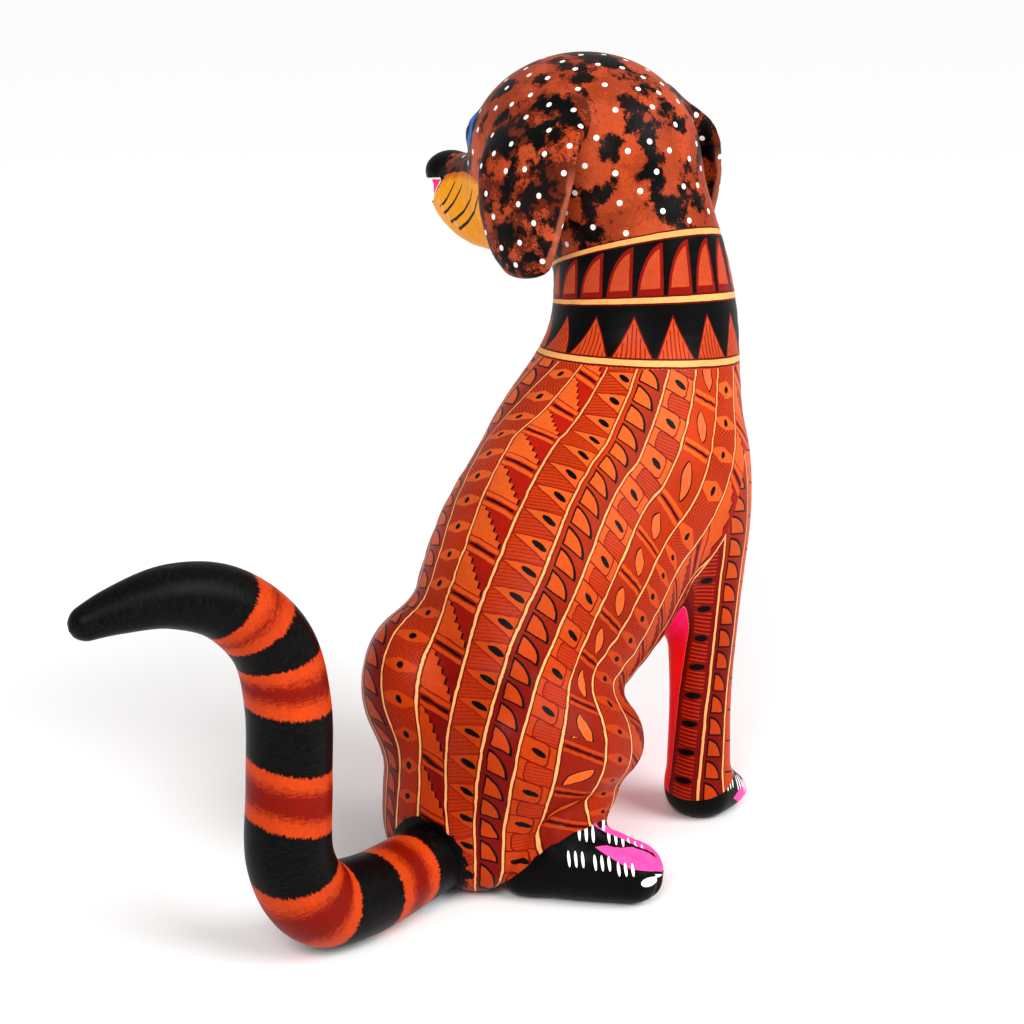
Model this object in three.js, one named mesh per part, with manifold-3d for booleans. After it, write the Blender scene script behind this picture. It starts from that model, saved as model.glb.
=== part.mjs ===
// Carved and painted wooden dog, sitting, with its head turned to its left.
// Sizes are in millimetres. X is the dog's left, -Y its front and Z up.
// The origin is on the ground, under the middle of the rump that it sits on.

import * as THREE from 'three';
import { mergeVertices } from 'three/addons/utils/BufferGeometryUtils.js';
import Module from 'manifold-3d';

const wasm = await Module();
wasm.setup();

// Driving sizes
const sole = 0; // height of the ground
const rootDepth = 4; // how far the carving is shaped below the ground before it is cut flat
const groundDip = 1.4; // the rounded undersides end this far below the ground, which leaves a flat
const netStep = 5.05; // spacing of the net that skins the carving
const relaxRounds = 3; // times that the net is evened out
const tailSides = 10;
const tailRings = 36;
const seam = 0.3; // gap between the tail and its socket

// The trunk, from the seat to the chest.
// wide is half its breadth from side to side, deep half its thickness.
const trunkStations = [
  { at: [0, -3, 6], wide: 28, deep: 25.5 },
  { at: [0, -5, 32], wide: 28, deep: 25.5 },
  { at: [0, -21, 60], wide: 32, deep: 30 },
  { at: [0, -43, 80.5], wide: 37, deep: 36.5 },
  { at: [0, -65.5, 95], wide: 36.5, deep: 38.5 },
];
const seatRounding = 20; // the seat's lower edge is rounded over this width
const soleRounding = 5; // and the edges of the feet over this one

// The neck, from inside the chest to inside the skull.
const neckStations = [
  { at: [0, -80.5, 108], wide: 30, deep: 30 },
  { at: [0, -88, 134], wide: 28.5, deep: 27.5 },
  { at: [0.8, -88.5, 152], wide: 26.5, deep: 26.5 },
  { at: [3, -87, 168], wide: 24.5, deep: 24.5 },
  { at: [9, -86, 186], wide: 24, deep: 24 },
];

// One front leg, on the dog's left; the other is its mirror image.
const foreLegStations = [
  { at: [22, -81.5, 104], wide: 13, deep: 16 },
  { at: [27, -80.3, 86], wide: 12, deep: 13.7 },
  { at: [29, -76.5, 64], wide: 10.5, deep: 11.5 },
  { at: [30, -74.5, 38], wide: 9, deep: 9.6 },
  { at: [30.5, -73.5, 12], wide: 9.5, deep: 9.6 },
];
const forePawStations = [
  { at: [31, -73, 6], wide: 9.8, deep: 8 },
  { at: [31, -81, 5.5], wide: 10, deep: 7.5 },
  { at: [31, -85.5, 4.5], wide: 9, deep: 5.5 },
];

// The right hind leg: thigh to the knee, shank back to the heel, and the foot.
const thighStations = [
  { at: [-18, -2, 41], wide: 17, deep: 22 },
  { at: [-25, -10, 41], wide: 15, deep: 18 },
  { at: [-27, -22, 39], wide: 12, deep: 14 },
];
const shankStations = [
  { at: [-27, -22, 36], wide: 11, deep: 12 },
  { at: [-25, -9, 22], wide: 11, deep: 12 },
  { at: [-19, 1, 8], wide: 9, deep: 9 },
];
const footStations = [
  { at: [-18, 1, 6], wide: 8, deep: 7 },
  { at: [-32.5, -6, 9.5], wide: 10.2, deep: 11 },
  { at: [-45, -13.2, 7], wide: 10.2, deep: 9 },
];
// The left one mirrors it, with its knee a little higher and its foot pointing further forward.
const leftKneeLift = 12;
const leftFootTurn = 28;
const leftHeelTuck = 5; // and its heel this much closer to the middle

// Three carved lines part the four toes of each paw.
const toeLines = [-4.2, 0, 4.2];
const toeLineWidth = 2.4;
const toeLineDepth = 1.8;
// Where the bottom of a toe line runs: distance from the heel, height, and how far it faces forward.
const forePawProfile = [[4, 13.5, 0], [9, 11.2, 0.1], [14, 8.2, 0.4], [17, 3, 0.75], [17.3, -2, 0.9]];
const footProfile = [[17, 20.5, 0], [25, 17.6, 0.1], [32, 13.6, 0.3], [37, 8.5, 0.6], [38.5, -2, 0.9]];
const creaseDepth = 1.4; // carved line between the haunch and the lower leg
const creaseWidth = 2.2;

// The head stands on the neck and is turned to the dog's left.
const headPlace = { at: [15, -87, 193], turn: 82, nod: -8 };
const skull = { at: [8.2, 0, 1], size: [35.3, 30, 28] };
const muzzleStations = [
  { at: [16, 0, -11], wide: 22, deep: 18 },
  { at: [42, 0, -12.5], wide: 16.5, deep: 16 },
  { at: [53, 0, -11], wide: 13, deep: 13 },
  { at: [60.3, 0, -8.5], wide: 10, deep: 8.5 },
];
const nose = { at: [63, 0, -2.8], size: [7.5, 8, 6] };
const eye = { at: [30.2, 12.8, 7.1], size: [8.6, 8.6, 8.6] };
const farEarTuck = 2; // the right ear lies this much closer to the skull
const earStations = [
  { at: [-1, 20.5, 12.5], wide: 13.5, deep: 5 },
  { at: [-1, 31, 3], wide: 18.5, deep: 4.5 },
  { at: [0, 35, -10], wide: 17.5, deep: 4 },
  { at: [1, 36, -23], wide: 13, deep: 4 },
  { at: [1, 35.5, -29], wide: 9, deep: 3.8 },
];

// The tail, from inside its socket in the rump to its tip; size is its radius.
const tailStations = [
  { at: [0, 4, 12.5], size: 10 },
  { at: [0, 26, 11.8], size: 10.2 },
  { at: [1, 48, 11.6], size: 10.9 },
  { at: [4, 62.8, 15], size: 11.6 },
  { at: [6.5, 70.2, 29], size: 11.4 },
  { at: [7, 69.2, 50], size: 11.1 },
  { at: [7, 68.8, 71], size: 11 },
  { at: [9, 72, 88], size: 10.6 },
  { at: [13.5, 83, 100.5], size: 9.5 },
  { at: [19, 96.5, 105.2], size: 8 },
  { at: [24.5, 110, 104.3], size: 5.9 },
  { at: [29, 121.5, 101.5], size: 3.6 },
];
const tipLength = 4; // the tail's tip is rounded over this length

const point = (xyz) => new THREE.Vector3(...xyz);

// Smooth join of two distances, rounded over the width k.
function blend(a, b, k) {
  const h = Math.max(k - Math.abs(a - b), 0) / k;
  return Math.min(a, b) - (h * h * k) / 4;
}

// Distance to an ellipse-like shape of half-sizes u and v, for offsets a and b.
function ovalDistance(a, b, u, v) {
  const near = Math.hypot(a / u, b / v);
  const steep = Math.hypot(a / (u * u), b / (v * v));
  return steep < 1e-9 ? -Math.min(u, v) : (near * (near - 1)) / steep;
}

// Cut of a shape by the ground, with the edge rounded over the width k.
function grounded(d, z, k) {
  return -blend(-d, z + groundDip, k);
}

function smoothCurve(points) {
  return new THREE.CatmullRomCurve3(points.map(point), false, 'catmullrom', 0.5);
}

// Smooth join of two distances with a line carved along it.
function creased(a, b, k, depth) {
  const apart = (a - b) / creaseWidth;
  return blend(a, b, k) + depth * Math.exp(-apart * apart);
}

// A limb follows a smooth curve through its stations, with an oval section.
// broad is the direction in which its wide sizes are measured.
function limb(stations, broad, steps = 4) {
  const path = smoothCurve(stations.map((s) => s.at));
  const sizes = smoothCurve(stations.map((s) => [s.wide, s.deep, 0]));
  const count = (stations.length - 1) * steps;
  const spots = Array.from({ length: count + 1 }, (_, i) => path.getPoint(i / count));
  const spans = Array.from({ length: count + 1 }, (_, i) => sizes.getPoint(i / count));
  const axis = point(broad).normalize();
  const run = new THREE.Vector3();
  const off = new THREE.Vector3();
  return (p) => {
    let best = Infinity;
    for (let i = 0; i < count; i++) {
      run.subVectors(spots[i + 1], spots[i]);
      off.subVectors(p, spots[i]);
      const t = THREE.MathUtils.clamp(off.dot(run) / run.lengthSq(), 0, 1);
      off.addScaledVector(run, -t);
      const across = off.dot(axis);
      const rest = Math.sqrt(Math.max(off.lengthSq() - across * across, 0));
      const wide = THREE.MathUtils.lerp(spans[i].x, spans[i + 1].x, t);
      const deep = THREE.MathUtils.lerp(spans[i].y, spans[i + 1].y, t);
      best = Math.min(best, ovalDistance(across, rest, wide, deep));
    }
    return best;
  };
}

function ball({ at, size }) {
  const [u, v, w] = size;
  return (p) => {
    const [x, y, z] = [p.x - at[0], p.y - at[1], p.z - at[2]];
    const near = Math.hypot(x / u, y / v, z / w);
    const steep = Math.hypot(x / (u * u), y / (v * v), z / (w * w));
    return steep < 1e-9 ? -Math.min(u, v, w) : (near * (near - 1)) / steep;
  };
}

// The head is shaped with X forward along the muzzle and Y to its own left.
function headField() {
  const toHead = new THREE.Matrix4()
    .makeTranslation(...headPlace.at)
    .multiply(new THREE.Matrix4().makeRotationZ(THREE.MathUtils.degToRad(headPlace.turn - 90)))
    .multiply(new THREE.Matrix4().makeRotationY(THREE.MathUtils.degToRad(-headPlace.nod)))
    .invert();
  const cranium = ball(skull);
  const muzzle = limb(muzzleStations, [0, 1, 0]);
  const ear = limb(earStations, [1, 0, 0]);
  const noseTip = ball(nose);
  const eyeball = ball(eye);
  const q = new THREE.Vector3();
  return (p) => {
    q.copy(p).applyMatrix4(toHead);
    let d = blend(cranium(q), muzzle(q), 10);
    d = blend(d, noseTip(q), 2.5);
    const tuck = q.y < 0 ? farEarTuck : 0;
    q.y = Math.abs(q.y);
    d = blend(d, eyeball(q), 1);
    q.y += tuck;
    return blend(d, ear(q), 4);
  };
}

// A place on a hind foot, turned about the heel and tucked towards the middle.
function footPlace([x, y, z], footTurn, heelTuck) {
  const heel = point(footStations[0].at);
  const turn = THREE.MathUtils.degToRad(footTurn);
  return point([x, y, z]).sub(heel).applyAxisAngle(new THREE.Vector3(0, 0, 1), turn)
    .add(heel).add(point([heelTuck, 0, 0])).toArray();
}

// A hind leg on the dog's right. kneeLift raises its knee, footTurn points the foot forward
// and heelTuck brings the heel closer to the middle.
function hindLegField(kneeLift, footTurn, heelTuck) {
  const placed = (stations) => stations.map((s) => {
    const [x, y, z] = s.at;
    const ease = THREE.MathUtils.smoothstep(z, 8, 36);
    return { ...s, at: [x + heelTuck * (1 - ease), y, z + kneeLift * ease] };
  });
  const thigh = limb(placed(thighStations), [0.9, -0.4, 0]);
  const shank = limb(placed(shankStations), [0.7, 0.7, 0]);
  const stations = footStations.map((s) => ({ ...s, at: footPlace(s.at, footTurn, heelTuck) }));
  const foot = limb(stations, [0.6, -0.8, 0]);
  // The carved line fades out towards the knee, which is one round form.
  return (p, body) => {
    const upper = blend(body, thigh(p), 6);
    const kneeward = THREE.MathUtils.smoothstep(p.z, 24 + kneeLift, 38 + kneeLift);
    const k = THREE.MathUtils.lerp(1.5, 5, kneeward);
    const lower = grounded(blend(shank(p), foot(p), 4), p.z, soleRounding);
    return creased(upper, lower, k, creaseDepth * (1 - kneeward));
  };
}

function dogField() {
  const trunk = limb(trunkStations, [1, 0, 0]);
  const neck = limb(neckStations, [1, 0, 0]);
  const foreLeg = limb(foreLegStations, [1, 0, 0]);
  const forePaw = limb(forePawStations, [1, 0, 0]);
  const rightHindLeg = hindLegField(0, 0, 0);
  const leftHindLeg = hindLegField(leftKneeLift, leftFootTurn, leftHeelTuck);
  const head = headField();
  const q = new THREE.Vector3();
  return (p) => {
    let d = blend(grounded(trunk(p), p.z, seatRounding), neck(p), 24);
    d = blend(d, head(p), 8);
    q.set(Math.abs(p.x), p.y, p.z);
    d = blend(d, grounded(blend(foreLeg(q), forePaw(q), 5), p.z, soleRounding), 8);
    d = rightHindLeg(p, d);
    q.x = -p.x;
    d = leftHindLeg(q, d);
    return Math.max(d, -rootDepth - p.z);
  };
}

// Skins a field with a net of quads: one corner in each cell that the surface crosses.
function skin(field, low, high, step) {
  const size = low.map((v, i) => Math.ceil((high[i] - v) / step) + 1);
  const at = (i, j, k) => i + size[0] * (j + size[1] * k);
  const values = new Float32Array(size[0] * size[1] * size[2]);
  const p = new THREE.Vector3();
  for (let k = 0; k < size[2]; k++)
    for (let j = 0; j < size[1]; j++)
      for (let i = 0; i < size[0]; i++) {
        p.set(low[0] + i * step, low[1] + j * step, low[2] + k * step);
        values[at(i, j, k)] = field(p);
      }
  joinDiagonals(values, size, at);
  const corners = [];
  const cornerOf = new Map();
  const offsets = [[0, 0, 0], [1, 0, 0], [0, 1, 0], [1, 1, 0], [0, 0, 1], [1, 0, 1], [0, 1, 1], [1, 1, 1]];
  const edges = [[0, 1], [2, 3], [4, 5], [6, 7], [0, 2], [1, 3], [4, 6], [5, 7], [0, 4], [1, 5], [2, 6], [3, 7]];
  for (let k = 0; k < size[2] - 1; k++)
    for (let j = 0; j < size[1] - 1; j++)
      for (let i = 0; i < size[0] - 1; i++) {
        const d = offsets.map(([a, b, c]) => values[at(i + a, j + b, k + c)]);
        const sum = new THREE.Vector3();
        let crossed = 0;
        for (const [a, b] of edges) {
          if (d[a] < 0 === d[b] < 0) continue;
          const t = d[a] / (d[a] - d[b]);
          sum.add(point(offsets[a]).lerp(point(offsets[b]), t));
          crossed++;
        }
        if (!crossed) continue;
        sum.divideScalar(crossed).add(new THREE.Vector3(i, j, k)).multiplyScalar(step).add(point(low));
        cornerOf.set(at(i, j, k), corners.length / 3);
        corners.push(sum.x, sum.y, sum.z);
      }
  const faces = [];
  const quad = (a, b, c, d, turned) => {
    const [p, q, r, s] = turned ? [d, c, b, a] : [a, b, c, d];
    faces.push(p, q, r, p, r, s);
  };
  for (let k = 1; k < size[2] - 1; k++)
    for (let j = 1; j < size[1] - 1; j++)
      for (let i = 1; i < size[0] - 1; i++) {
        const inside = values[at(i, j, k)] < 0;
        const cell = (a, b, c) => cornerOf.get(at(i - a, j - b, k - c));
        if (inside !== values[at(i + 1, j, k)] < 0)
          quad(cell(0, 1, 1), cell(0, 0, 1), cell(0, 0, 0), cell(0, 1, 0), !inside);
        if (inside !== values[at(i, j + 1, k)] < 0)
          quad(cell(1, 0, 1), cell(1, 0, 0), cell(0, 0, 0), cell(0, 0, 1), !inside);
        if (inside !== values[at(i, j, k + 1)] < 0)
          quad(cell(1, 1, 0), cell(0, 1, 0), cell(0, 0, 0), cell(1, 0, 0), !inside);
      }
  for (let round = 0; round < relaxRounds; round++) {
    settle(corners, field, 1);
    relax(corners, faces);
  }
  settle(corners, field, 3);
  const geometry = new THREE.BufferGeometry();
  geometry.setAttribute('position', new THREE.Float32BufferAttribute(corners, 3));
  geometry.setIndex(faces);
  return geometry;
}

// Where the inside would meet itself only across a diagonal, a corner is filled in.
function joinDiagonals(values, size, at) {
  const sides = [[[1, 0, 0], [0, 1, 0]], [[1, 0, 0], [0, 0, 1]], [[0, 1, 0], [0, 0, 1]]];
  let filled = 1;
  while (filled) {
    filled = 0;
    for (let k = 0; k < size[2] - 1; k++)
      for (let j = 0; j < size[1] - 1; j++)
        for (let i = 0; i < size[0] - 1; i++)
          for (const [u, v] of sides) {
            const far = at(i + u[0] + v[0], j + u[1] + v[1], k + u[2] + v[2]);
            const near = at(i, j, k);
            const left = at(i + u[0], j + u[1], k + u[2]);
            const right = at(i + v[0], j + v[1], k + v[2]);
            const [a, b, c, d] = [near, left, far, right].map((n) => values[n] < 0);
            if (a !== c || b !== d || a === b) continue;
            const open = a ? [left, right] : [near, far];
            values[values[open[0]] < values[open[1]] ? open[0] : open[1]] = -1e-3;
            filled++;
          }
  }
}

// Moves each corner halfway to the middle of its neighbours, which evens out the net.
function relax(corners, faces) {
  const sums = new Float64Array(corners.length);
  const counts = new Uint16Array(corners.length / 3);
  const add = (a, b) => {
    for (let k = 0; k < 3; k++) sums[a * 3 + k] += corners[b * 3 + k];
    counts[a]++;
  };
  for (let n = 0; n < faces.length; n += 3)
    for (let e = 0; e < 3; e++) add(faces[n + e], faces[n + ((e + 1) % 3)]);
  for (let n = 0; n < corners.length; n++) {
    const middle = sums[n] / counts[Math.floor(n / 3)];
    corners[n] += (middle - corners[n]) / 2;
  }
}

// Moves each corner along the field's slope onto the surface itself.
function settle(corners, field, passes) {
  const p = new THREE.Vector3();
  const q = new THREE.Vector3();
  const slope = new THREE.Vector3();
  const h = 0.2;
  for (let n = 0; n < corners.length; n += 3) {
    p.fromArray(corners, n);
    for (let pass = 0; pass < passes; pass++) {
      const d = field(p);
      slope.set(
        field(q.copy(p).setX(p.x + h)) - d,
        field(q.copy(p).setY(p.y + h)) - d,
        field(q.copy(p).setZ(p.z + h)) - d,
      ).divideScalar(h);
      const move = THREE.MathUtils.clamp(-d / Math.max(slope.lengthSq(), 0.2), -1.5, 1.5);
      p.addScaledVector(slope, move);
    }
    p.toArray(corners, n);
  }
}

// A round tube through stations, closed at both ends, with a rounded tip.
// extra widens it all over, and lengthens it at its first end.
function tube(stations, sides, rings, extra = 0) {
  const path = smoothCurve(stations.map((s) => s.at));
  const sizes = smoothCurve(stations.map((s) => [s.size, 0, 0]));
  const frames = path.computeFrenetFrames(rings, false);
  const length = path.getLength();
  const corners = [];
  for (let r = 0; r <= rings; r++) {
    const t = r / rings;
    const centre = path.getPointAt(t);
    if (r === 0) centre.addScaledVector(frames.tangents[0], -extra);
    const fromTip = Math.max(1 - ((1 - t) * length) / tipLength, 0);
    const round = Math.sqrt(Math.max(1 - fromTip * fromTip, 0.12));
    const radius = sizes.getPoint(path.getUtoTmapping(t)).x * round + extra;
    for (let s = 0; s < sides; s++) {
      const angle = (s / sides) * 2 * Math.PI;
      const out = frames.normals[r].clone().multiplyScalar(Math.cos(angle))
        .addScaledVector(frames.binormals[r], Math.sin(angle));
      corners.push(...centre.clone().addScaledVector(out, radius).toArray());
    }
  }
  const ends = [path.getPointAt(0).addScaledVector(frames.tangents[0], -extra), path.getPointAt(1)];
  ends.forEach((end) => corners.push(...end.toArray()));
  const faces = [];
  for (let r = 0; r < rings; r++)
    for (let s = 0; s < sides; s++) {
      const [a, b] = [r * sides + s, r * sides + ((s + 1) % sides)];
      faces.push(a, b, a + sides, b, b + sides, a + sides);
    }
  const last = rings * sides;
  for (let s = 0; s < sides; s++) {
    const next = (s + 1) % sides;
    faces.push(last + sides, next, s, last + sides + 1, last + s, last + next);
  }
  const geometry = new THREE.BufferGeometry();
  geometry.setAttribute('position', new THREE.Float32BufferAttribute(corners, 3));
  geometry.setIndex(faces);
  return geometry;
}

function toSolid(geometry) {
  const bare = geometry.clone();
  bare.deleteAttribute('normal');
  bare.deleteAttribute('uv');
  const merged = mergeVertices(bare, 1e-4);
  return new wasm.Manifold(new wasm.Mesh({
    numProp: 3,
    vertProperties: new Float32Array(merged.attributes.position.array),
    triVerts: new Uint32Array(merged.index.array),
  }));
}

function toGeometry(solid) {
  const mesh = solid.getMesh();
  const geometry = new THREE.BufferGeometry();
  geometry.setAttribute('position', new THREE.BufferAttribute(mesh.vertProperties, 3));
  geometry.setIndex(new THREE.BufferAttribute(mesh.triVerts, 1));
  geometry.computeVertexNormals();
  return geometry;
}

function paint(colour, roughness) {
  return new THREE.MeshStandardMaterial({ color: colour, roughness, metalness: 0 });
}

// A wedge that cuts one line between two toes, along the top of a paw and down its front.
// ridge is the path of the cut's bottom, and side points across it.
function toeWedge(ridge, side) {
  const corners = [];
  const [half, tall] = [toeLineWidth * 2, toeLineDepth * 4];
  for (const spot of ridge)
    for (const [across, lift] of [[0, 0], [half, tall], [-half, tall]])
      corners.push(...point(spot.at).addScaledVector(side, across).addScaledVector(point(spot.out), lift).toArray());
  const faces = [0, 2, 1];
  for (let n = 0; n + 3 < corners.length / 3; n += 3)
    for (const [a, b] of [[0, 1], [1, 2], [2, 0]])
      faces.push(n + a, n + b, n + b + 3, n + a, n + b + 3, n + a + 3);
  const last = corners.length / 3 - 3;
  faces.push(last, last + 1, last + 2);
  const geometry = new THREE.BufferGeometry();
  geometry.setAttribute('position', new THREE.Float32BufferAttribute(corners, 3));
  geometry.setIndex(faces);
  return geometry;
}

// The cuts on one paw, which starts at heel and whose toes point along forward.
// Each spot of the profile is a distance forward, a height and the way out of the wood there.
function toeWedges(heel, forward, profile) {
  const side = new THREE.Vector3(0, 0, 1).cross(forward).normalize();
  return toeLines.map((shift) => toeWedge(profile.map(([reach, height, lean]) => ({
    at: point(heel).addScaledVector(forward, reach).addScaledVector(side, shift).setZ(height).toArray(),
    out: forward.clone().multiplyScalar(lean).setZ(1 - lean).normalize().toArray(),
  })), side));
}

function pawCuts() {
  const cuts = [];
  for (const sign of [-1, 1]) {
    const [x, y] = forePawStations[0].at;
    cuts.push(...toeWedges([sign * x, y, 0], new THREE.Vector3(0, -1, 0), forePawProfile));
    const turn = sign < 0 ? [0, 0] : [leftFootTurn, leftHeelTuck];
    const [heel, toe] = [footStations[0], footStations[2]].map((s) => point(footPlace(s.at, ...turn)));
    if (sign > 0) [heel, toe].forEach((spot) => spot.setX(-spot.x));
    const forward = toe.clone().sub(heel).setZ(0).normalize();
    cuts.push(...toeWedges(heel.setZ(0).toArray(), forward, footProfile));
  }
  return cuts.map(toSolid);
}

function dogMesh() {
  const ground = new THREE.BoxGeometry(400, 400, 60).translate(0, 0, sole - 30);
  const socket = tube(tailStations, tailSides, tailRings, seam);
  let solid = toSolid(skin(dogField(), [-66, -134, -10], [96, 30, 236], netStep));
  for (const cut of [toSolid(ground), toSolid(socket), ...pawCuts()]) solid = solid.subtract(cut);
  const mesh = new THREE.Mesh(toGeometry(solid), paint(0xb4481c, 0.55));
  mesh.name = 'dog';
  return mesh;
}

function tailMesh() {
  const mesh = new THREE.Mesh(tube(tailStations, tailSides, tailRings), paint(0x201a18, 0.5));
  mesh.name = 'tail';
  return mesh;
}

const alebrijeDog = new THREE.Group();
alebrijeDog.add(dogMesh(), tailMesh());
export default alebrijeDog;
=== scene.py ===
# Painted wooden dog, carved from the same stations as the solid it stands for.
# Lengths are in millimetres until a mesh is made. X is the dog's left, -Y its front, Z up.

import math

import bpy
import numpy as np
from mathutils import Matrix, Vector


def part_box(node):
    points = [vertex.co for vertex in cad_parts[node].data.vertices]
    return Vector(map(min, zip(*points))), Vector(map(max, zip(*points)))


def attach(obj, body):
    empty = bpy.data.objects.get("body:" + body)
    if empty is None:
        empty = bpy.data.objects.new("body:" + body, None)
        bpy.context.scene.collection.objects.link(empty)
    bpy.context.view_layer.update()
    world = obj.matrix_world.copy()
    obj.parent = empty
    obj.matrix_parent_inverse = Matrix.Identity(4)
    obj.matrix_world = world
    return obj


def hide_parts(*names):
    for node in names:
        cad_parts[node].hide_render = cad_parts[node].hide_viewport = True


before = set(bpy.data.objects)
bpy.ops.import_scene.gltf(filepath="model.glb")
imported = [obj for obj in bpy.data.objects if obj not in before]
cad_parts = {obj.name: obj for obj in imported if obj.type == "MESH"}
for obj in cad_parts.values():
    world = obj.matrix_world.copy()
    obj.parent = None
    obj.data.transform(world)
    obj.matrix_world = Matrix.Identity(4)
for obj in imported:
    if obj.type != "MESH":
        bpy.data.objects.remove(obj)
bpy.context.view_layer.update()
mm = 0.001
boxGap = 0.02

# Each station is (x, y, z, wide, deep): wide is half the breadth, deep half the thickness.
dogSizes = {
    "trunk": [(0, -3, 6, 28, 25.5), (0, -5, 32, 28, 25.5), (0, -21, 60, 32, 30),
              (0, -43, 80.5, 37, 36.5), (0, -65.5, 95, 36.5, 38.5)],
    "neck": [(0, -80.5, 108, 30, 30), (0, -88, 134, 28.5, 27.5), (0.8, -88.5, 152, 26.5, 26.5),
             (3, -87, 168, 24.5, 24.5), (9, -86, 186, 24, 24)],
    "foreLeg": [(22, -81.5, 104, 13, 16), (27, -80.3, 86, 12, 13.7), (29, -76.5, 64, 10.5, 11.5),
                (30, -74.5, 38, 9, 9.6), (30.5, -73.5, 12, 9.5, 9.6)],
    "forePaw": [(31, -73, 6, 9.8, 8), (31, -81, 5.5, 10, 7.5), (31, -85.5, 4.5, 9, 5.5)],
    "thigh": [(-18, -2, 41, 17, 22), (-25, -10, 41, 15, 18), (-27, -22, 39, 12, 14)],
    "shank": [(-27, -22, 36, 11, 12), (-25, -9, 22, 11, 12), (-19, 1, 8, 9, 9)],
    "foot": [(-18, 1, 6, 8, 7), (-32.5, -6, 9.5, 10.2, 11), (-45, -13.2, 7, 10.2, 9)],
    "leftKneeLift": 12,
    "leftFootTurn": 28,
    "leftHeelTuck": 5,
    "toeLines": (-4.2, 0, 4.2),
    "toeDepth": 1.5,
    "crease": (1.4, 2.2),
    "seatRounding": 20,
    "soleRounding": 5,
    "headAt": (15, -87, 193),
    "headTurn": 82,
    "headNod": -8,
    "skull": (8.2, 0, 1, 35.3, 30, 28),
    "muzzle": [(16, 0, -11, 22, 18), (42, 0, -12.5, 16.5, 16), (53, 0, -11, 13, 13),
               (60.3, 0, -8.5, 10, 8.5)],
    "nose": (63, 0, -2.8, 7.5, 8, 6),
    "eye": (30.2, 12.8, 7.1, 8.6, 8.6, 8.6),
    "mouthCorner": (55, -4.8),
    "mouthDepth": 1.5,
    "ear": [(-1, 20.5, 12.5, 13.5, 5), (-1, 31, 3, 18.5, 4.5), (0, 35, -10, 17.5, 4),
            (1, 36, -23, 13, 4), (1, 35.5, -29, 9, 3.8)],
    "farEarTuck": 2,
    "coarseStep": 6.0,
    "netStep": 1.2,
    "rootDepth": 4,
    "groundDip": 1.4,
    "netLow": (-66, -140, -8),
    "netHigh": (96, 36, 236),
}
# Each of the tail's stations is (x, y, z, radius).
tailSizes = {
    "stations": [(0, 4, 12.5, 10), (0, 26, 11.8, 10.2), (1, 48, 11.6, 10.9), (4, 62.8, 15, 11.6),
                 (6.5, 70.2, 29, 11.4), (7, 69.2, 50, 11.1), (7, 68.8, 71, 11), (9, 72, 88, 10.6),
                 (13.5, 83, 100.5, 9.5), (19, 96.5, 105.2, 8), (24.5, 110, 104.3, 5.9),
                 (29, 121.5, 101.5, 3.6)],
    "tipLength": 4.0,
    "sides": 72,
    "rings": 260,
}


def smoothRun(stations, steps):
    # Uniform Catmull-Rom through every station, with the end steps repeated outwards.
    rows = np.array(stations, float)
    rows = np.vstack([2 * rows[0] - rows[1], rows, 2 * rows[-1] - rows[-2]])
    run = []
    for n in range(len(stations) - 1):
        before, start, end, after = rows[n:n + 4]
        for t in np.arange(steps) / steps:
            leave, arrive = (end - before) / 2, (after - start) / 2
            run.append(start + t * leave + t ** 2 * (-3 * start + 3 * end - 2 * leave - arrive)
                       + t ** 3 * (2 * start - 2 * end + leave + arrive))
    run.append(rows[-2])
    return np.array(run)


def ovalDistance(a, b, u, v):
    near = np.hypot(a / u, b / v)
    steep = np.maximum(np.hypot(a / u ** 2, b / v ** 2), 1e-9)
    return near * (near - 1) / steep


def blend(a, b, width):
    h = np.maximum(width - np.abs(a - b), 0) / width
    return np.minimum(a, b) - h * h * width / 4


class Limb:
    # An oval section carried along a smooth run; broad is the direction of its wide sizes.
    def __init__(self, stations, broad, steps=4):
        self.run = smoothRun(stations, steps)
        self.broad = np.array(broad, float) / np.linalg.norm(broad)

    def distance(self, p):
        best = np.full(len(p), 1e9)
        for start, end in zip(self.run[:-1], self.run[1:]):
            way = end[:3] - start[:3]
            t = np.clip((p - start[:3]) @ way / (way @ way), 0, 1)
            off = p - start[:3] - t[:, None] * way
            across = off @ self.broad
            rest = np.sqrt(np.maximum((off * off).sum(1) - across ** 2, 0))
            wide, deep = (start[3 + k] + t * (end[3 + k] - start[3 + k]) for k in (0, 1))
            best = np.minimum(best, ovalDistance(across, rest, wide, deep))
        return best


def ballDistance(p, ball):
    q = p - ball[:3]
    near = np.linalg.norm(q / ball[3:], axis=1)
    steep = np.maximum(np.linalg.norm(q / np.square(ball[3:]), axis=1), 1e-9)
    return near * (near - 1) / steep


def headFrame():
    turn = Matrix.Rotation(math.radians(dogSizes["headTurn"] - 90), 3, "Z")
    nod = Matrix.Rotation(math.radians(-dogSizes["headNod"]), 3, "Y")
    return np.array(turn @ nod)


def toHead(p):
    # X runs forward along the muzzle, Y to the head's own left, Z up.
    return (p - np.array(dogSizes["headAt"])) @ headFrame()


def mirrored(p):
    return p * np.array((-1, 1, 1))


def easeIn(value, low, high):
    t = np.clip((value - low) / (high - low), 0, 1)
    return t * t * (3 - 2 * t)


def footSpot(spot, footTurn, heelTuck):
    heel = Vector(dogSizes["foot"][0][:3])
    spin = Matrix.Rotation(math.radians(footTurn), 3, "Z")
    return spin @ (Vector(spot) - heel) + heel + Vector((heelTuck, 0, 0))


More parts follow.
